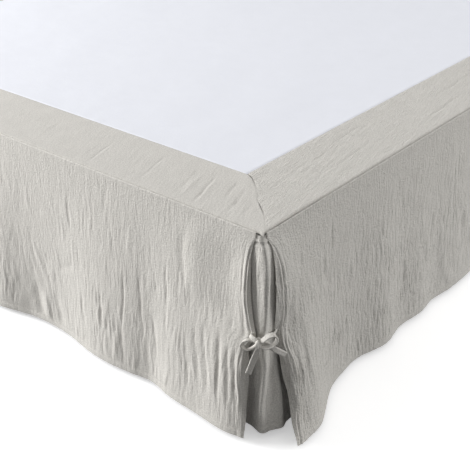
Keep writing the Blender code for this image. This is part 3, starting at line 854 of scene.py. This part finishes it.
def add_band(name, edge, drift, mitre_at_end, lip_groove, skew, crumple, seed, sizes, material):
    """One side of the mitred border, from its seam with the deck to its rolled outer edge."""
    step = 0.0045 if mitre_at_end else 0.0016
    flat = np.linspace(BAND_WIDTH, BAND_ROLL, round((BAND_WIDTH - BAND_ROLL) / step))
    flat = np.concatenate((BAND_WIDTH - np.array((0.0, 0.0006, 0.0014, 0.0026)), flat[1:]))
    flat = np.unique(flat)[::-1]
    angles = np.radians(np.linspace(15, 90, 6))
    roll_in = BAND_ROLL + EDGE_INSET - BAND_ROLL * np.sin(angles)
    flat = flat[flat > BAND_ROLL + EDGE_INSET]
    across = np.concatenate((flat, roll_in))
    fall = np.concatenate((np.zeros(len(flat)), BAND_ROLL * (1 - np.cos(angles))))
    if mitre_at_end:
        columns = graded(0.0, edge.length, 0.0017, 0.0040, 0.40)
    else:
        columns = graded(0.0, edge.length, 0.0060, 0.0110, 0.90)
    along, start = band_section(across, edge, drift, mitre_at_end, columns)
    inward = np.broadcast_to(across[:, None], along.shape)
    height = (TOP - fall)[:, None] * np.ones(along.shape)
    near_corner = np.exp(-along / 0.010)
    if mitre_at_end:
        near_corner = near_corner + np.exp(-(edge.length - along) / 0.010)
    height -= 0.0018 * near_corner * smooth(fall / BAND_ROLL)[:, None]
    base = edge.points(along, -inward, height)
    flat_run = np.concatenate((flat, BAND_ROLL + EDGE_INSET - BAND_ROLL * angles))
    plan = edge.points(along, -np.broadcast_to(flat_run[:, None], along.shape), height)
    lines = np.array((-math.sin(skew), math.cos(skew)))
    beside = np.array((math.cos(skew), math.sin(skew)))
    cloth_across = plan[..., 0] * beside[0] + plan[..., 1] * beside[1]
    cloth_along = plan[..., 0] * lines[0] + plan[..., 1] * lines[1]
    normals = facing(base, (0, 0, 1))
    texture = crinkle(cloth_across, cloth_along, sizes.crinkle_spacing,
                      1.3 * sizes.crinkle_length, seed)
    from_mitre = (along - start) / math.sqrt(2)
    if mitre_at_end:
        from_mitre = np.minimum(from_mitre, (edge.length - start - along) / math.sqrt(2))
    moved = 0.0002 + texture * crumple * sizes.crinkle_depth
    moved += creases(BAND_CREASES, np.sign(edge.start[0]) * plan[..., 0], plan[..., 1])
    pucker = noise(along / 0.004, inward / 0.009, seed + 5)
    moved += 0.0005 * pucker * np.exp(-from_mitre / 0.008)
    moved -= 0.0004 * np.exp(-((from_mitre / 0.0012) ** 2))
    open_lip = read_table(lip_groove, along)[..., 0] * MILLIMETRE
    near_edge = np.exp(-(((inward - EDGE_INSET) / 0.0030) ** 2))
    away_from_corner = smooth((along - 0.004) / 0.006)
    moved -= 1.2 * open_lip * near_edge * away_from_corner
    near_deck = (BAND_WIDTH - inward) / 0.0016
    moved -= 0.0005 * np.exp(-(near_deck**2))
    outer = base + normals * moved[..., None]
    data = sheet_mesh(name, outer, facing(outer, (0, 0, 1)), BAND_THICKNESS,
                      np.stack((cloth_across, cloth_along), axis=-1))
    made = link(name, data, material)
    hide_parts(name.removeprefix("gauze_"))
    return made


def add_deck(sizes, material):
    """The plain cloth inside the border, laid flat with a few soft drag lines."""
    half = HALF_WIDTH - BAND_WIDTH
    low, high = FOOT_END + BAND_WIDTH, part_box("deck")[1].y
    edges = np.array((0.0, 0.0008, 0.0018, 0.0032, 0.0055, 0.010))
    inner = np.linspace(-half + 0.02, half - 0.02, 96)
    x = np.concatenate((-half + edges, inner, half - edges[::-1]))
    y = np.concatenate((low + edges, np.linspace(low + 0.02, high, 128)))
    x, y = np.meshgrid(x, y)
    base = np.stack((x, y, np.full(x.shape, TOP)), axis=-1)
    normals = np.broadcast_to(np.array((0.0, 0.0, 1.0)), base.shape)
    inside = np.minimum(half - np.abs(x), y - low)
    moved = 0.0006 * noise(x / 0.11, y / 0.16, 71) * smooth(inside / 0.05)
    drag = noise((x + 0.5 * y) / 0.020, (y - 0.5 * x) / 0.13, 72)
    moved += 0.00035 * drag * np.exp(-inside / 0.09)
    moved += 0.0002 * np.exp(-(((inside - 0.0042) / 0.0022) ** 2))
    moved -= 0.0006 * np.exp(-((inside / 0.0016) ** 2))
    outer = base + normals * moved[..., None]
    data = sheet_mesh("percale_deck", outer, facing(outer, (0, 0, 1)), BAND_THICKNESS,
                      np.stack((x, y), axis=-1))
    made = link("percale_deck", data, material)
    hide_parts("deck")
    return made


def corner_path(run, inset):
    """Distances along the foot edge and along the side, on the cloth that wraps a corner."""
    centre = inset + GUSSET_RADIUS
    half_arc = math.pi / 4 * GUSSET_RADIUS
    angle = np.clip((run + half_arc) / GUSSET_RADIUS, 0, math.pi / 2)
    along_foot = centre - GUSSET_RADIUS * np.sin(angle) + np.maximum(-half_arc - run, 0)
    along_side = centre - GUSSET_RADIUS * np.cos(angle) + np.maximum(run - half_arc, 0)
    return along_foot, along_side


def add_gusset(name, side, seed, sizes, material):
    """The inset pleat that wraps the corner of the bed behind a slit."""
    half = GUSSET_REACH - GUSSET_INSET - GUSSET_RADIUS + math.pi / 4 * GUSSET_RADIUS
    near = np.arange(-0.045, 0.0451, 0.0013)
    far = np.linspace(0.045, half, 18)[1:]
    run = np.concatenate((-far[::-1], near, far))
    share = np.concatenate((np.linspace(0, 0.08, 12), np.linspace(0.08, 0.95, 50)[1:],
                            np.linspace(0.95, 1, 8)[1:]))
    top_in = np.array((0.0022, 0.0011, 0.0003, 0.0))
    top_up = np.array((0.0037, 0.0036, 0.0026, 0.0013))
    share = np.concatenate((np.zeros(len(top_in)), share))
    to_side, to_foot, lean = (read_table(GUSSET_FOLD, share)[:, i][:, None] for i in range(3))
    inset = np.full((len(share), 1), GUSSET_INSET)
    inset[: len(top_in), 0] += top_in
    along_foot, along_side = corner_path(run[None, :], inset)
    nose = np.exp(-(((run - lean) / GUSSET_NOSE_WIDTH) ** 2))
    side_nose = np.where(run > lean, np.exp(-(((run - lean) / GUSSET_SIDE_WIDTH) ** 2)), nose)
    behind = smooth((run - lean) / GUSSET_BACK_RISE)
    behind = behind * (1 - smooth((run - GUSSET_BACK_END) / GUSSET_BACK_FALL))
    flare = GUSSET_SIDE_FLARE * share[:, None] ** GUSSET_FLARE_POWER
    push_side = to_side * np.maximum(side_nose, GUSSET_BACK_SHARE * behind)
    push_side = push_side + flare * smooth(along_side / GUSSET_FLARE_REACH)
    height = PANEL_TOP - share * (PANEL_HEIGHT - GUSSET_HEM_LIFT)
    height[: len(top_up)] += top_up
    height = np.broadcast_to(height[:, None], nose.shape)
    x = side * (HALF_WIDTH - along_foot + push_side)
    y = FOOT_END + along_side - to_foot * nose
    base = np.stack(np.broadcast_arrays(x, y, height), axis=-1)

    def outward(points, normals):
        way = points[..., :2] - np.array((side * (HALF_WIDTH - 0.1), FOOT_END + 0.1))
        return (way * normals[..., :2]).sum(-1).mean()

    normals = facing(base, outward)
    cloth = np.broadcast_to(run[None, :], nose.shape)
    texture = crinkle(cloth, height, sizes.crinkle_spacing, sizes.crinkle_length, seed)
    moved = 0.8 * texture * sizes.crinkle_depth
    moved += creases(GUSSET_CREASES, cloth, height)
    hem_line = PANEL_TOP - PANEL_HEIGHT + GUSSET_HEM_LIFT
    moved += hem_fold(height, hem_line, sizes.hem_depth)
    from_top = PANEL_TOP - height
    moved += 0.0012 * np.exp(-(((from_top - 0.0035) / 0.0026) ** 2))
    moved -= 0.0012 * np.exp(-(((from_top - 0.0085) / 0.0020) ** 2))
    outer = base + normals * moved[..., None]
    outer_normals = facing(outer, outward)
    data = sheet_mesh(name, outer, outer_normals, sizes.cloth_thickness,
                      np.stack((cloth, height), axis=-1))
    made = link(name, data, material)
    seam = stitch_line(outer, outer_normals, height,
                       hem_line + sizes.hem_depth - STITCH_INSET)
    stitches = add_stitches(name.replace("gauze", "stitches"), seam, sizes)
    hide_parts(name.removeprefix("gauze_"))
    return made


def bow_origin(side):
    """The world point that the bow of one corner is measured from."""
    return np.array((side * (HALF_WIDTH - BOW_ALONG_FOOT), FOOT_END + BOW_ALONG_SIDE, BOW_HEIGHT))


def bow_way(side, local):
    """World vectors from the bow's own directions: across, out and up."""
    across, out, up = local[..., 0], local[..., 1], local[..., 2]
    along_foot = -math.cos(BOW_TURN) * across - math.sin(BOW_TURN) * out
    along_side = math.sin(BOW_TURN) * across - math.cos(BOW_TURN) * out
    return np.stack((-side * along_foot, along_side, up), axis=-1)


def tie_surface(rows, side, sizes):
    """Centreline and rings of points of a folded tie that follows given points."""
    keyed = [(float(i), *row) for i, row in enumerate(rows)]
    at = np.linspace(0, len(rows) - 1, (len(rows) - 1) * TIE_STEPS + 1)
    values = read_table(keyed, at)
    centre = bow_origin(side) + bow_way(side, values[:, :3] * MILLIMETRE)
    width = bow_way(side, values[:, 3:])
    way = np.gradient(centre, axis=0)
    way /= np.linalg.norm(way, axis=-1, keepdims=True)
    thick = np.cross(way, width)
    thick /= np.linalg.norm(thick, axis=-1, keepdims=True)
    angles = np.linspace(0, 2 * math.pi, TIE_SIDES, endpoint=False)
    flat = np.sign(np.cos(angles)) * np.abs(np.cos(angles)) ** 0.7
    full = np.sign(np.sin(angles)) * np.abs(np.sin(angles)) ** 0.55
    dish = 1 - 0.35 * np.exp(-((flat / 0.45) ** 2))
    rings = centre[:, None] + width[:, None] * flat[:, None] * sizes.tie_width / 2
    rings = rings + thick[:, None] * (full * dish)[:, None] * sizes.tie_thickness / 2
    steps = np.linalg.norm(np.diff(centre, axis=0), axis=1)
    distance = np.concatenate(([0.0], np.cumsum(steps)))
    return centre, rings, distance, flat


def tube_faces(rings, sides, first=0):
    """Faces of a closed tube of rings, with flat ends."""
    faces = []
    for i in range(rings - 1):
        low, high = first + i * sides, first + (i + 1) * sides
        for j in range(sides):
            k = (j + 1) % sides
            faces.append((low + j, low + k, high + k, high + j))
    faces.append(tuple(first + j for j in reversed(range(sides))))
    faces.append(tuple(first + (rings - 1) * sides + j for j in range(sides)))
    return faces


def add_tie(name, side, rows, knot, seed, sizes, material):
    """One folded tie: lead, loop and tail in one strip, and its turn round the knot."""
    centre, rings, distance, flat = tie_surface(rows, side, sizes)
    wrinkle = noise(distance[:, None] / 0.006, flat[None, :] * 2.0, seed)
    middle = rings.mean(axis=1, keepdims=True)
    outward = rings - middle
    outward /= np.linalg.norm(outward, axis=-1, keepdims=True)
    rings = rings + outward * (0.00035 * wrinkle)[..., None]
    places = [rings.reshape(-1, 3)]
    faces = tube_faces(len(rings), TIE_SIDES)
    cloth = [np.stack(np.broadcast_arrays(flat[None, :] * sizes.tie_width / 2,
                                          distance[:, None]), axis=-1).reshape(-1, 2)]
    radii, where = knot
    turn = np.linspace(0, 2 * math.pi, 28, endpoint=False)
    lift = np.linspace(-math.pi / 2, math.pi / 2, 19)
    lift, turn = np.meshgrid(lift, turn, indexing="ij")
    pleat = 1 + 0.10 * np.cos(5 * turn) * np.cos(lift) - 0.05 * np.cos(11 * turn + 1)
    ball = np.stack((np.cos(lift) * np.cos(turn) * pleat, np.cos(lift) * np.sin(turn) * pleat,
                     np.sin(lift)), axis=-1)
    local = (ball * np.array(radii) + np.array(where)) * MILLIMETRE
    knob = bow_origin(side) + bow_way(side, local)
    faces += tube_faces(len(knob), knob.shape[1], len(places[0]))
    places.append(knob.reshape(-1, 3))
    cloth.append(np.stack((turn * 0.004, lift * 0.008), axis=-1).reshape(-1, 2))
    if side < 0:
        faces = [face[::-1] for face in faces]
    data = bpy.data.meshes.new(name)
    data.from_pydata(np.concatenate(places).tolist(), [], faces)
    corners = np.fromiter((v for face in faces for v in face), int)
    layer = data.uv_layers.new(name=CLOTH_MAP)
    layer.uv.foreach_set("vector", np.concatenate(cloth)[corners].astype(np.float32).ravel())
    data.shade_smooth()
    data.set_sharp_from_angle(angle=math.radians(70))
    made = link(name, data, material)
    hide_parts(name.removeprefix("gauze_"))
    return made


def add_node(tree, kind, settings=None, inputs=None, links=None):
    """Add a node, set its settings and its sockets' values, and link others into it."""
    node = tree.nodes.new(kind)
    for key, value in (settings or {}).items():
        setattr(node, key, value)
    for key, value in (inputs or {}).items():
        node.inputs[key].default_value = value
    for key, source in (links or {}).items():
        tree.links.new(source, node.inputs[key])
    return node


def new_material(name):
    """A material, and its node tree with nothing in it yet."""
    material = bpy.data.materials.new(name)
    material.use_nodes = True
    material.node_tree.nodes.clear()
    return material, material.node_tree


def add_bump(tree, strength, distance, height, under=None):
    """Relief from a pattern, on top of other relief or on the plain surface."""
    links = {"Height": height}
    if under:
        links["Normal"] = under
    bump = add_node(tree, "ShaderNodeBump", {}, {"Strength": strength, "Distance": distance}, links)
    return bump.outputs["Normal"]


def add_tone(tree, colour, darkest, factor):
    """A colour that varies with a pattern, from a darker share of itself to itself."""
    ends = {"A": (*[c * darkest for c in colour], 1.0), "B": (*colour, 1.0)}
    tone = add_node(tree, "ShaderNodeMix", {"data_type": "RGBA"}, ends, {"Factor": factor})
    return tone.outputs["Result"]


def add_surface(tree, values, colour, normal):
    """The shader of a material, joined to its output."""
    shader = add_node(tree, "ShaderNodeBsdfPrincipled", {}, values,
                      {"Base Color": colour, "Normal": normal})
    add_node(tree, "ShaderNodeOutputMaterial", {}, {}, {"Surface": shader.outputs["BSDF"]})


def gauze_material(name, colour, spacing, relief_share):
    """Crinkled double gauze: two layers of open plain weave, caught together every few
    threads and washed so that they shrink. It gives the eye a dry, matt, softly furrowed
    cloth with no gloss, a faint nap at grazing angles and small uneven shades of one colour.
    """
    material, tree = new_material(name)
    cloth = add_node(tree, "ShaderNodeUVMap", {"uv_map": CLOTH_MAP})

    def pattern(kind, across, along, settings, inputs):
        scaled = add_node(
            tree, "ShaderNodeVectorMath", {"operation": "MULTIPLY"},
            {1: (1 / across, 1 / along, 1.0)}, {0: cloth.outputs["UV"]},
        )
        return add_node(tree, kind, settings, inputs, {"Vector": scaled.outputs[0]})

    # Fine wrinkles between the modelled ones, about 3 mm apart and 22 mm long
    wrinkle = pattern("ShaderNodeTexNoise", 0.55 * spacing, 0.022, {},
                      {"Scale": 1.0, "Detail": 3.0, "Roughness": 0.6, "Distortion": 0.3})
    # The catching threads leave a grid of soft dimples, 5 mm apart
    dimple = pattern("ShaderNodeTexNoise", 0.005, 0.005, {},
                     {"Scale": 1.0, "Detail": 2.0, "Roughness": 0.7})
    # Slubs of the weave: real threads are 0.4 mm apart, drawn 2 mm apart to show
    slub = pattern("ShaderNodeTexNoise", 0.0020, 0.0024, {},
                   {"Scale": 1.0, "Detail": 2.0, "Roughness": 0.6})
    # Uneven dye take-up in patches of a few centimetres
    cloudy = pattern("ShaderNodeTexNoise", 0.020, 0.035, {},
                     {"Scale": 1.0, "Detail": 2.0, "Roughness": 0.5})
    relief = add_node(tree, "ShaderNodeMath", {"operation": "MULTIPLY_ADD"}, {1: 0.6},
                      {0: dimple.outputs["Fac"], 2: wrinkle.outputs["Fac"]})
    bump = add_bump(tree, 1.0, 0.0010 * relief_share, relief.outputs[0])
    weave = add_bump(tree, 1.0, 0.00070 * relief_share, slub.outputs["Fac"], bump)
    shade = add_node(tree, "ShaderNodeMath", {"operation": "MULTIPLY_ADD"}, {1: 0.15},
                     {0: cloudy.outputs["Fac"], 2: slub.outputs["Fac"]})
    light = [min(1.0, c * 1.16) for c in colour]
    dark = [c * 0.82 for c in colour]
    tone = add_node(tree, "ShaderNodeValToRGB", {}, {}, {"Fac": shade.outputs[0]})
    tone.color_ramp.elements[0].position = 0.37
    tone.color_ramp.elements[0].color = (*dark, 1.0)
    tone.color_ramp.elements[1].position = 0.78
    tone.color_ramp.elements[1].color = (*light, 1.0)
    matt = {"Roughness": 0.95, "Specular IOR Level": 0.2, "Sheen Weight": 0.12,
            "Sheen Roughness": 0.5}
    add_surface(tree, matt, tone.outputs["Color"], weave)
    return material


def percale_material(name, colour):
    """Cotton percale: close plain weave of combed yarn, pressed flat. It gives the eye an even,
    cool white with a soft dull surface, where only drag lines near the seams show.
    """
    material, tree = new_material(name)
    cloth = add_node(tree, "ShaderNodeUVMap", {"uv_map": CLOTH_MAP})
    # Real threads are 0.25 mm apart, drawn 1 mm apart to show at all
    threads = add_node(tree, "ShaderNodeTexNoise", {}, {"Scale": 1000.0, "Detail": 1.0},
                       {"Vector": cloth.outputs["UV"]})
    # Pressing marks, about 40 mm apart
    pressed = add_node(tree, "ShaderNodeTexNoise", {}, {"Scale": 25.0, "Detail": 3.0},
                       {"Vector": cloth.outputs["UV"]})
    bump = add_bump(tree, 0.6, 0.0002, threads.outputs["Fac"])
    soft = add_bump(tree, 0.5, 0.0015, pressed.outputs["Fac"], bump)
    dull = {"Roughness": 0.85, "Specular IOR Level": 0.3, "Sheen Weight": 0.05}
    add_surface(tree, dull, add_tone(tree, colour, 0.97, pressed.outputs["Fac"]), soft)
    return material


def thread_material():
    """Spun polyester sewing thread: two plies twisted together. It gives the eye a slightly
    brighter, smoother line than the cloth that it is sunk in.
    """
    found = bpy.data.materials.get("spun_polyester_thread")
    if found:
        return found
    colour = tuple(bpy.context.scene.cloth_colours.thread)
    material, tree = new_material("spun_polyester_thread")
    place = add_node(tree, "ShaderNodeTexCoord")
    # Plies cross every 0.4 mm
    twist = add_node(tree, "ShaderNodeTexWave", {"bands_direction": "DIAGONAL"},
                     {"Scale": 2500.0 / 6.283}, {"Vector": place.outputs["Object"]})
    bump = add_bump(tree, 0.4, 0.0001, twist.outputs["Fac"])
    tone = add_tone(tree, colour, 0.85, twist.outputs["Fac"])
    add_surface(tree, {"Roughness": 0.6}, tone, bump)
    return material


def cover_material(name, colour):
    """Woven polyester bed cover: coarse even canvas weave, stretched tight over the base. It
    gives the eye a flat, slightly grainy cloth with a faint regular weave.
    """
    material, tree = new_material(name)
    place = add_node(tree, "ShaderNodeTexCoord")
    # Real yarns are 0.8 mm apart, drawn 2 mm apart to show
    weave = add_node(tree, "ShaderNodeTexVoronoi", {"distance": "CHEBYCHEV"},
                     {"Scale": 500.0, "Randomness": 0.35}, {"Vector": place.outputs["Object"]})
    cloudy = add_node(tree, "ShaderNodeTexNoise", {}, {"Scale": 14.0, "Detail": 3.0},
                      {"Vector": place.outputs["Object"]})
    bump = add_bump(tree, 0.7, 0.0004, weave.outputs["Distance"])
    tone = add_tone(tree, colour, 0.88, cloudy.outputs["Fac"])
    add_surface(tree, {"Roughness": 0.9, "Specular IOR Level": 0.25}, tone, bump)
    return material


def beech_material(name, colour):
    """Oiled beech, turned and sanded: straight fine grain along the leg. It gives the eye a warm
    satin wood with thin darker lines and small flecks, and a soft broad highlight.
    """
    material, tree = new_material(name)
    place = add_node(tree, "ShaderNodeTexCoord")
    # Growth rings are 2.5 mm apart across the leg, and run 0.3 m along it
    stretched = add_node(tree, "ShaderNodeVectorMath", {"operation": "MULTIPLY"},
                         {1: (400.0, 400.0, 3.3)}, {0: place.outputs["Object"]})
    grain = add_node(tree, "ShaderNodeTexNoise", {},
                     {"Scale": 1.0, "Detail": 4.0, "Distortion": 0.4},
                     {"Vector": stretched.outputs[0]})
    tone = add_tone(tree, colour, 0.62, grain.outputs["Fac"])
    bump = add_bump(tree, 0.3, 0.0003, grain.outputs["Fac"])
    add_surface(tree, {"Roughness": 0.42, "IOR": 1.45}, tone, bump)
    return material


def add_lamp(name, compass, height, power):
    """A large soft light that looks at the foot corner, at angles in degrees."""
    compass, height = math.radians(compass), math.radians(height)
    level = math.cos(height)
    way = Vector((math.cos(compass) * level, math.sin(compass) * level, math.sin(height)))
    lamp_data = bpy.data.lights.new(name, "AREA")
    lamp_data.shape = "SQUARE"
    lamp_data.size = LAMP_SIZE
    lamp_data.energy = power
    lamp = bpy.data.objects.new(name, lamp_data)
    lamp.location = Vector(LAMP_TARGET) + way * LAMP_DISTANCE
    lamp.rotation_euler = (-way).to_track_quat("-Z", "Y").to_euler()
    lamp.visible_camera = False
    bpy.context.scene.collection.objects.link(lamp)


class BEDSKIRT_OT_stage(bpy.types.Operator):
    """Add the pale floor, the soft lights and the camera of the photograph"""

    bl_idname = "bedskirt.stage"
    bl_label = "Stage, lights and camera"

    def execute(self, context):
        scene = context.scene
        light = scene.studio_light
        scene.view_settings.view_transform = "Standard"
        world = bpy.data.worlds.new("studio_room")
        world.use_nodes = True
        world.node_tree.nodes.clear()
        place = add_node(world.node_tree, "ShaderNodeTexCoord")
        parts = add_node(world.node_tree, "ShaderNodeSeparateXYZ", {}, {},
                         {0: place.outputs["Generated"]})
        above = add_node(world.node_tree, "ShaderNodeMath", {"operation": "GREATER_THAN"},
                         {1: 0.0}, {0: parts.outputs["Z"]})
        room = add_node(world.node_tree, "ShaderNodeBackground", {}, {"Strength": light.sky},
                        {"Color": above.outputs[0]})
        add_node(world.node_tree, "ShaderNodeOutputWorld", {}, {},
                 {"Surface": room.outputs["Background"]})
        scene.world = world
        camera_data = bpy.data.cameras.new("photo_camera")
        camera_data.lens = CAMERA_LENS
        camera_data.sensor_width = CAMERA_SENSOR
        camera = bpy.data.objects.new("photo_camera", camera_data)
        camera.location = CAMERA_PLACE
        camera.rotation_euler = Vector(CAMERA_AIM).to_track_quat("-Z", "Y").to_euler()
        scene.collection.objects.link(camera)
        scene.camera = camera
        # A pale light table: matt acrylic that glows faintly, so that shadows stay pale
        material, tree = new_material("light_table")
        shader = add_node(tree, "ShaderNodeBsdfPrincipled", {},
                          {"Base Color": (0.90, 0.90, 0.90, 1.0), "Roughness": 0.9,
                           "Emission Color": (1.0, 1.0, 1.0, 1.0), "Emission Strength": 0.40})
        add_node(tree, "ShaderNodeOutputMaterial", {}, {}, {"Surface": shader.outputs["BSDF"]})
        floor_data = bpy.data.meshes.new("floor")
        ways = ((-1, -1), (1, -1), (1, 1), (-1, 1))
        corners = [(x * FLOOR_REACH, y * FLOOR_REACH, 0.0) for x, y in ways]
        floor_data.from_pydata(corners, [], [(0, 1, 2, 3)])
        floor_data.materials.append(material)
        floor = bpy.data.objects.new("floor", floor_data)
        scene.collection.objects.link(floor)
        # The floor takes shadows but throws no light back up into the slits
        floor.visible_diffuse = False
        add_lamp("key_light", KEY_COMPASS, LAMP_HEIGHT, light.key)
        add_lamp("side_light", SIDE_COMPASS, LAMP_HEIGHT, light.back)
        return {"FINISHED"}


class BEDSKIRT_OT_drops(bpy.types.Operator):
    """Add the hanging panels of crinkled gauze at the foot end and along both sides"""

    bl_idname = "bedskirt.drops"
    bl_label = "Hanging panels"

    def execute(self, context):
        sizes = context.scene.skirt_sizes
        colours = context.scene.cloth_colours
        gauze = gauze_material("double_gauze_foot", colours.face, sizes.crinkle_spacing, 0.9)
        add_drop("gauze_drop_foot", FOOT_EDGE, FOOT_SLIT, FOOT_HEM, True, FOOT_CREASES,
                 FOOT_GROOVE, FOOT_CRUMPLE, 11, sizes, gauze)
        gauze = gauze_material("double_gauze_side", colours.face, sizes.crinkle_spacing, 2.4)
        add_drop("gauze_drop_right", RIGHT_EDGE, SIDE_SLIT, SIDE_HEM, False, SIDE_CREASES,
                 SIDE_GROOVE, SIDE_CRUMPLE, 37, sizes, gauze)
        add_drop("gauze_drop_left", LEFT_EDGE, SIDE_SLIT, SIDE_HEM, False, SIDE_CREASES,
                 SIDE_GROOVE, SIDE_CRUMPLE, 53, sizes, gauze)
        return {"FINISHED"}


class BEDSKIRT_OT_gussets(bpy.types.Operator):
    """Add the inset pleats that wrap the foot corners behind the slits"""

    bl_idname = "bedskirt.gussets"
    bl_label = "Inset pleats"

    def execute(self, context):
        sizes = context.scene.skirt_sizes
        colours = context.scene.cloth_colours
        gauze = gauze_material("double_gauze_pleat", colours.face, sizes.crinkle_spacing, 1.5)
        add_gusset("gauze_gusset_right", 1, 61, sizes, gauze)
        add_gusset("gauze_gusset_left", -1, 67, sizes, gauze)
        return {"FINISHED"}


class BEDSKIRT_OT_border(bpy.types.Operator):
    """Add the mitred border of crinkled gauze on top of the base"""

    bl_idname = "bedskirt.border"
    bl_label = "Mitred border"

    def execute(self, context):
        sizes = context.scene.skirt_sizes
        colours = context.scene.cloth_colours
        gauze = gauze_material("double_gauze_across", colours.face, sizes.crinkle_spacing, 0.5)
        add_band("gauze_band_foot", FOOT_EDGE, -1, True, FOOT_GROOVE, FOOT_BAND_SKEW,
                 FOOT_BAND_CRUMPLE, 83, sizes, gauze)
        gauze = gauze_material("double_gauze_along", colours.face, sizes.crinkle_spacing, 1.6)
        add_band("gauze_band_right", RIGHT_EDGE, 1, False, SIDE_GROOVE, SIDE_BAND_SKEW,
                 SIDE_BAND_CRUMPLE, 89, sizes, gauze)
        add_band("gauze_band_left", LEFT_EDGE, 1, False, SIDE_GROOVE, -SIDE_BAND_SKEW,
                 SIDE_BAND_CRUMPLE, 97, sizes, gauze)
        return {"FINISHED"}


class BEDSKIRT_OT_deck(bpy.types.Operator):
    """Add the plain white cloth that lies inside the border"""

    bl_idname = "bedskirt.deck"
    bl_label = "Deck cloth"

    def execute(self, context):
        colours = context.scene.cloth_colours
        add_deck(context.scene.skirt_sizes, percale_material("cotton_percale", colours.deck))
        return {"FINISHED"}


class BEDSKIRT_OT_ties(bpy.types.Operator):
    """Add the folded ties, knotted in a bow over each slit"""

    bl_idname = "bedskirt.ties"
    bl_label = "Ties"

    def execute(self, context):
        sizes = context.scene.skirt_sizes
        colours = context.scene.cloth_colours
        gauze = gauze_material("double_gauze_folded", colours.face, sizes.crinkle_spacing, 1.0)
        foot_rows = LEAD_FOOT + LOOP_RIGHT + TAIL_LEFT
        side_rows = LEAD_SIDE + LOOP_LEFT + TAIL_RIGHT
        for side, hand, seed in ((1, "right", 101), (-1, "left", 103)):
            add_tie(f"gauze_tie_foot_{hand}", side, foot_rows, KNOT_FOOT, seed, sizes, gauze)
            add_tie(f"gauze_tie_side_{hand}", side, side_rows, KNOT_SIDE, seed + 1, sizes, gauze)
        return {"FINISHED"}


class BEDSKIRT_OT_base(bpy.types.Operator):
    """Finish the bed base and its legs"""

    bl_idname = "bedskirt.base"
    bl_label = "Base and legs"

    def execute(self, context):
        colours = context.scene.cloth_colours
        cover = cover_material("woven_polyester_cover", colours.base)
        beech = beech_material("oiled_beech", colours.leg)
        for name, node in nodes.items():
            if name == "bed_base" or name.startswith("leg_"):
                node.data.materials.clear()
                node.data.materials.append(cover if name == "bed_base" else beech)
        return {"FINISHED"}


class BEDSKIRT_PT_panel(bpy.types.Panel):
    """The bed skirt's builders and settings"""

    bl_label = "Bed skirt"
    bl_idname = "BEDSKIRT_PT_panel"
    bl_space_type = "VIEW_3D"
    bl_region_type = "UI"
    bl_category = "Bed skirt"

    def draw(self, context):
        layout = self.layout
        for group in (context.scene.skirt_sizes, context.scene.cloth_colours,
                      context.scene.studio_light):
            box = layout.box()
            for prop in group.bl_rna.properties:
                if prop.identifier not in ("rna_type", "name"):
                    box.prop(group, prop.identifier)
        for operator in BUILDERS:
            layout.operator(operator.bl_idname)


BUILDERS = (
    BEDSKIRT_OT_stage,
    BEDSKIRT_OT_ties,
    BEDSKIRT_OT_drops,
    BEDSKIRT_OT_gussets,
    BEDSKIRT_OT_border,
    BEDSKIRT_OT_deck,
    BEDSKIRT_OT_base,
)
GROUPS = (
    ("skirt_sizes", SkirtSizes),
    ("cloth_colours", ClothColours),
    ("studio_light", StudioLight),
)


def register():
    """Register the settings, the builders and the panel."""
    for name, group in GROUPS:
        bpy.utils.register_class(group)
        setattr(bpy.types.Scene, name, bpy.props.PointerProperty(type=group))
    for operator in BUILDERS:
        bpy.utils.register_class(operator)
    bpy.utils.register_class(BEDSKIRT_PT_panel)


def unregister():
    """Remove what register added."""
    bpy.utils.unregister_class(BEDSKIRT_PT_panel)
    for operator in reversed(BUILDERS):
        bpy.utils.unregister_class(operator)
    for name, group in reversed(GROUPS):
        delattr(bpy.types.Scene, name)
        bpy.utils.unregister_class(group)


def main():
    """Build the whole scene."""
    register()
    for operator in BUILDERS:
        family, builder = operator.bl_idname.split(".")
        getattr(getattr(bpy.ops, family), builder)()
    bpy.context.view_layer.update()


if __name__ == "__main__":
    main()
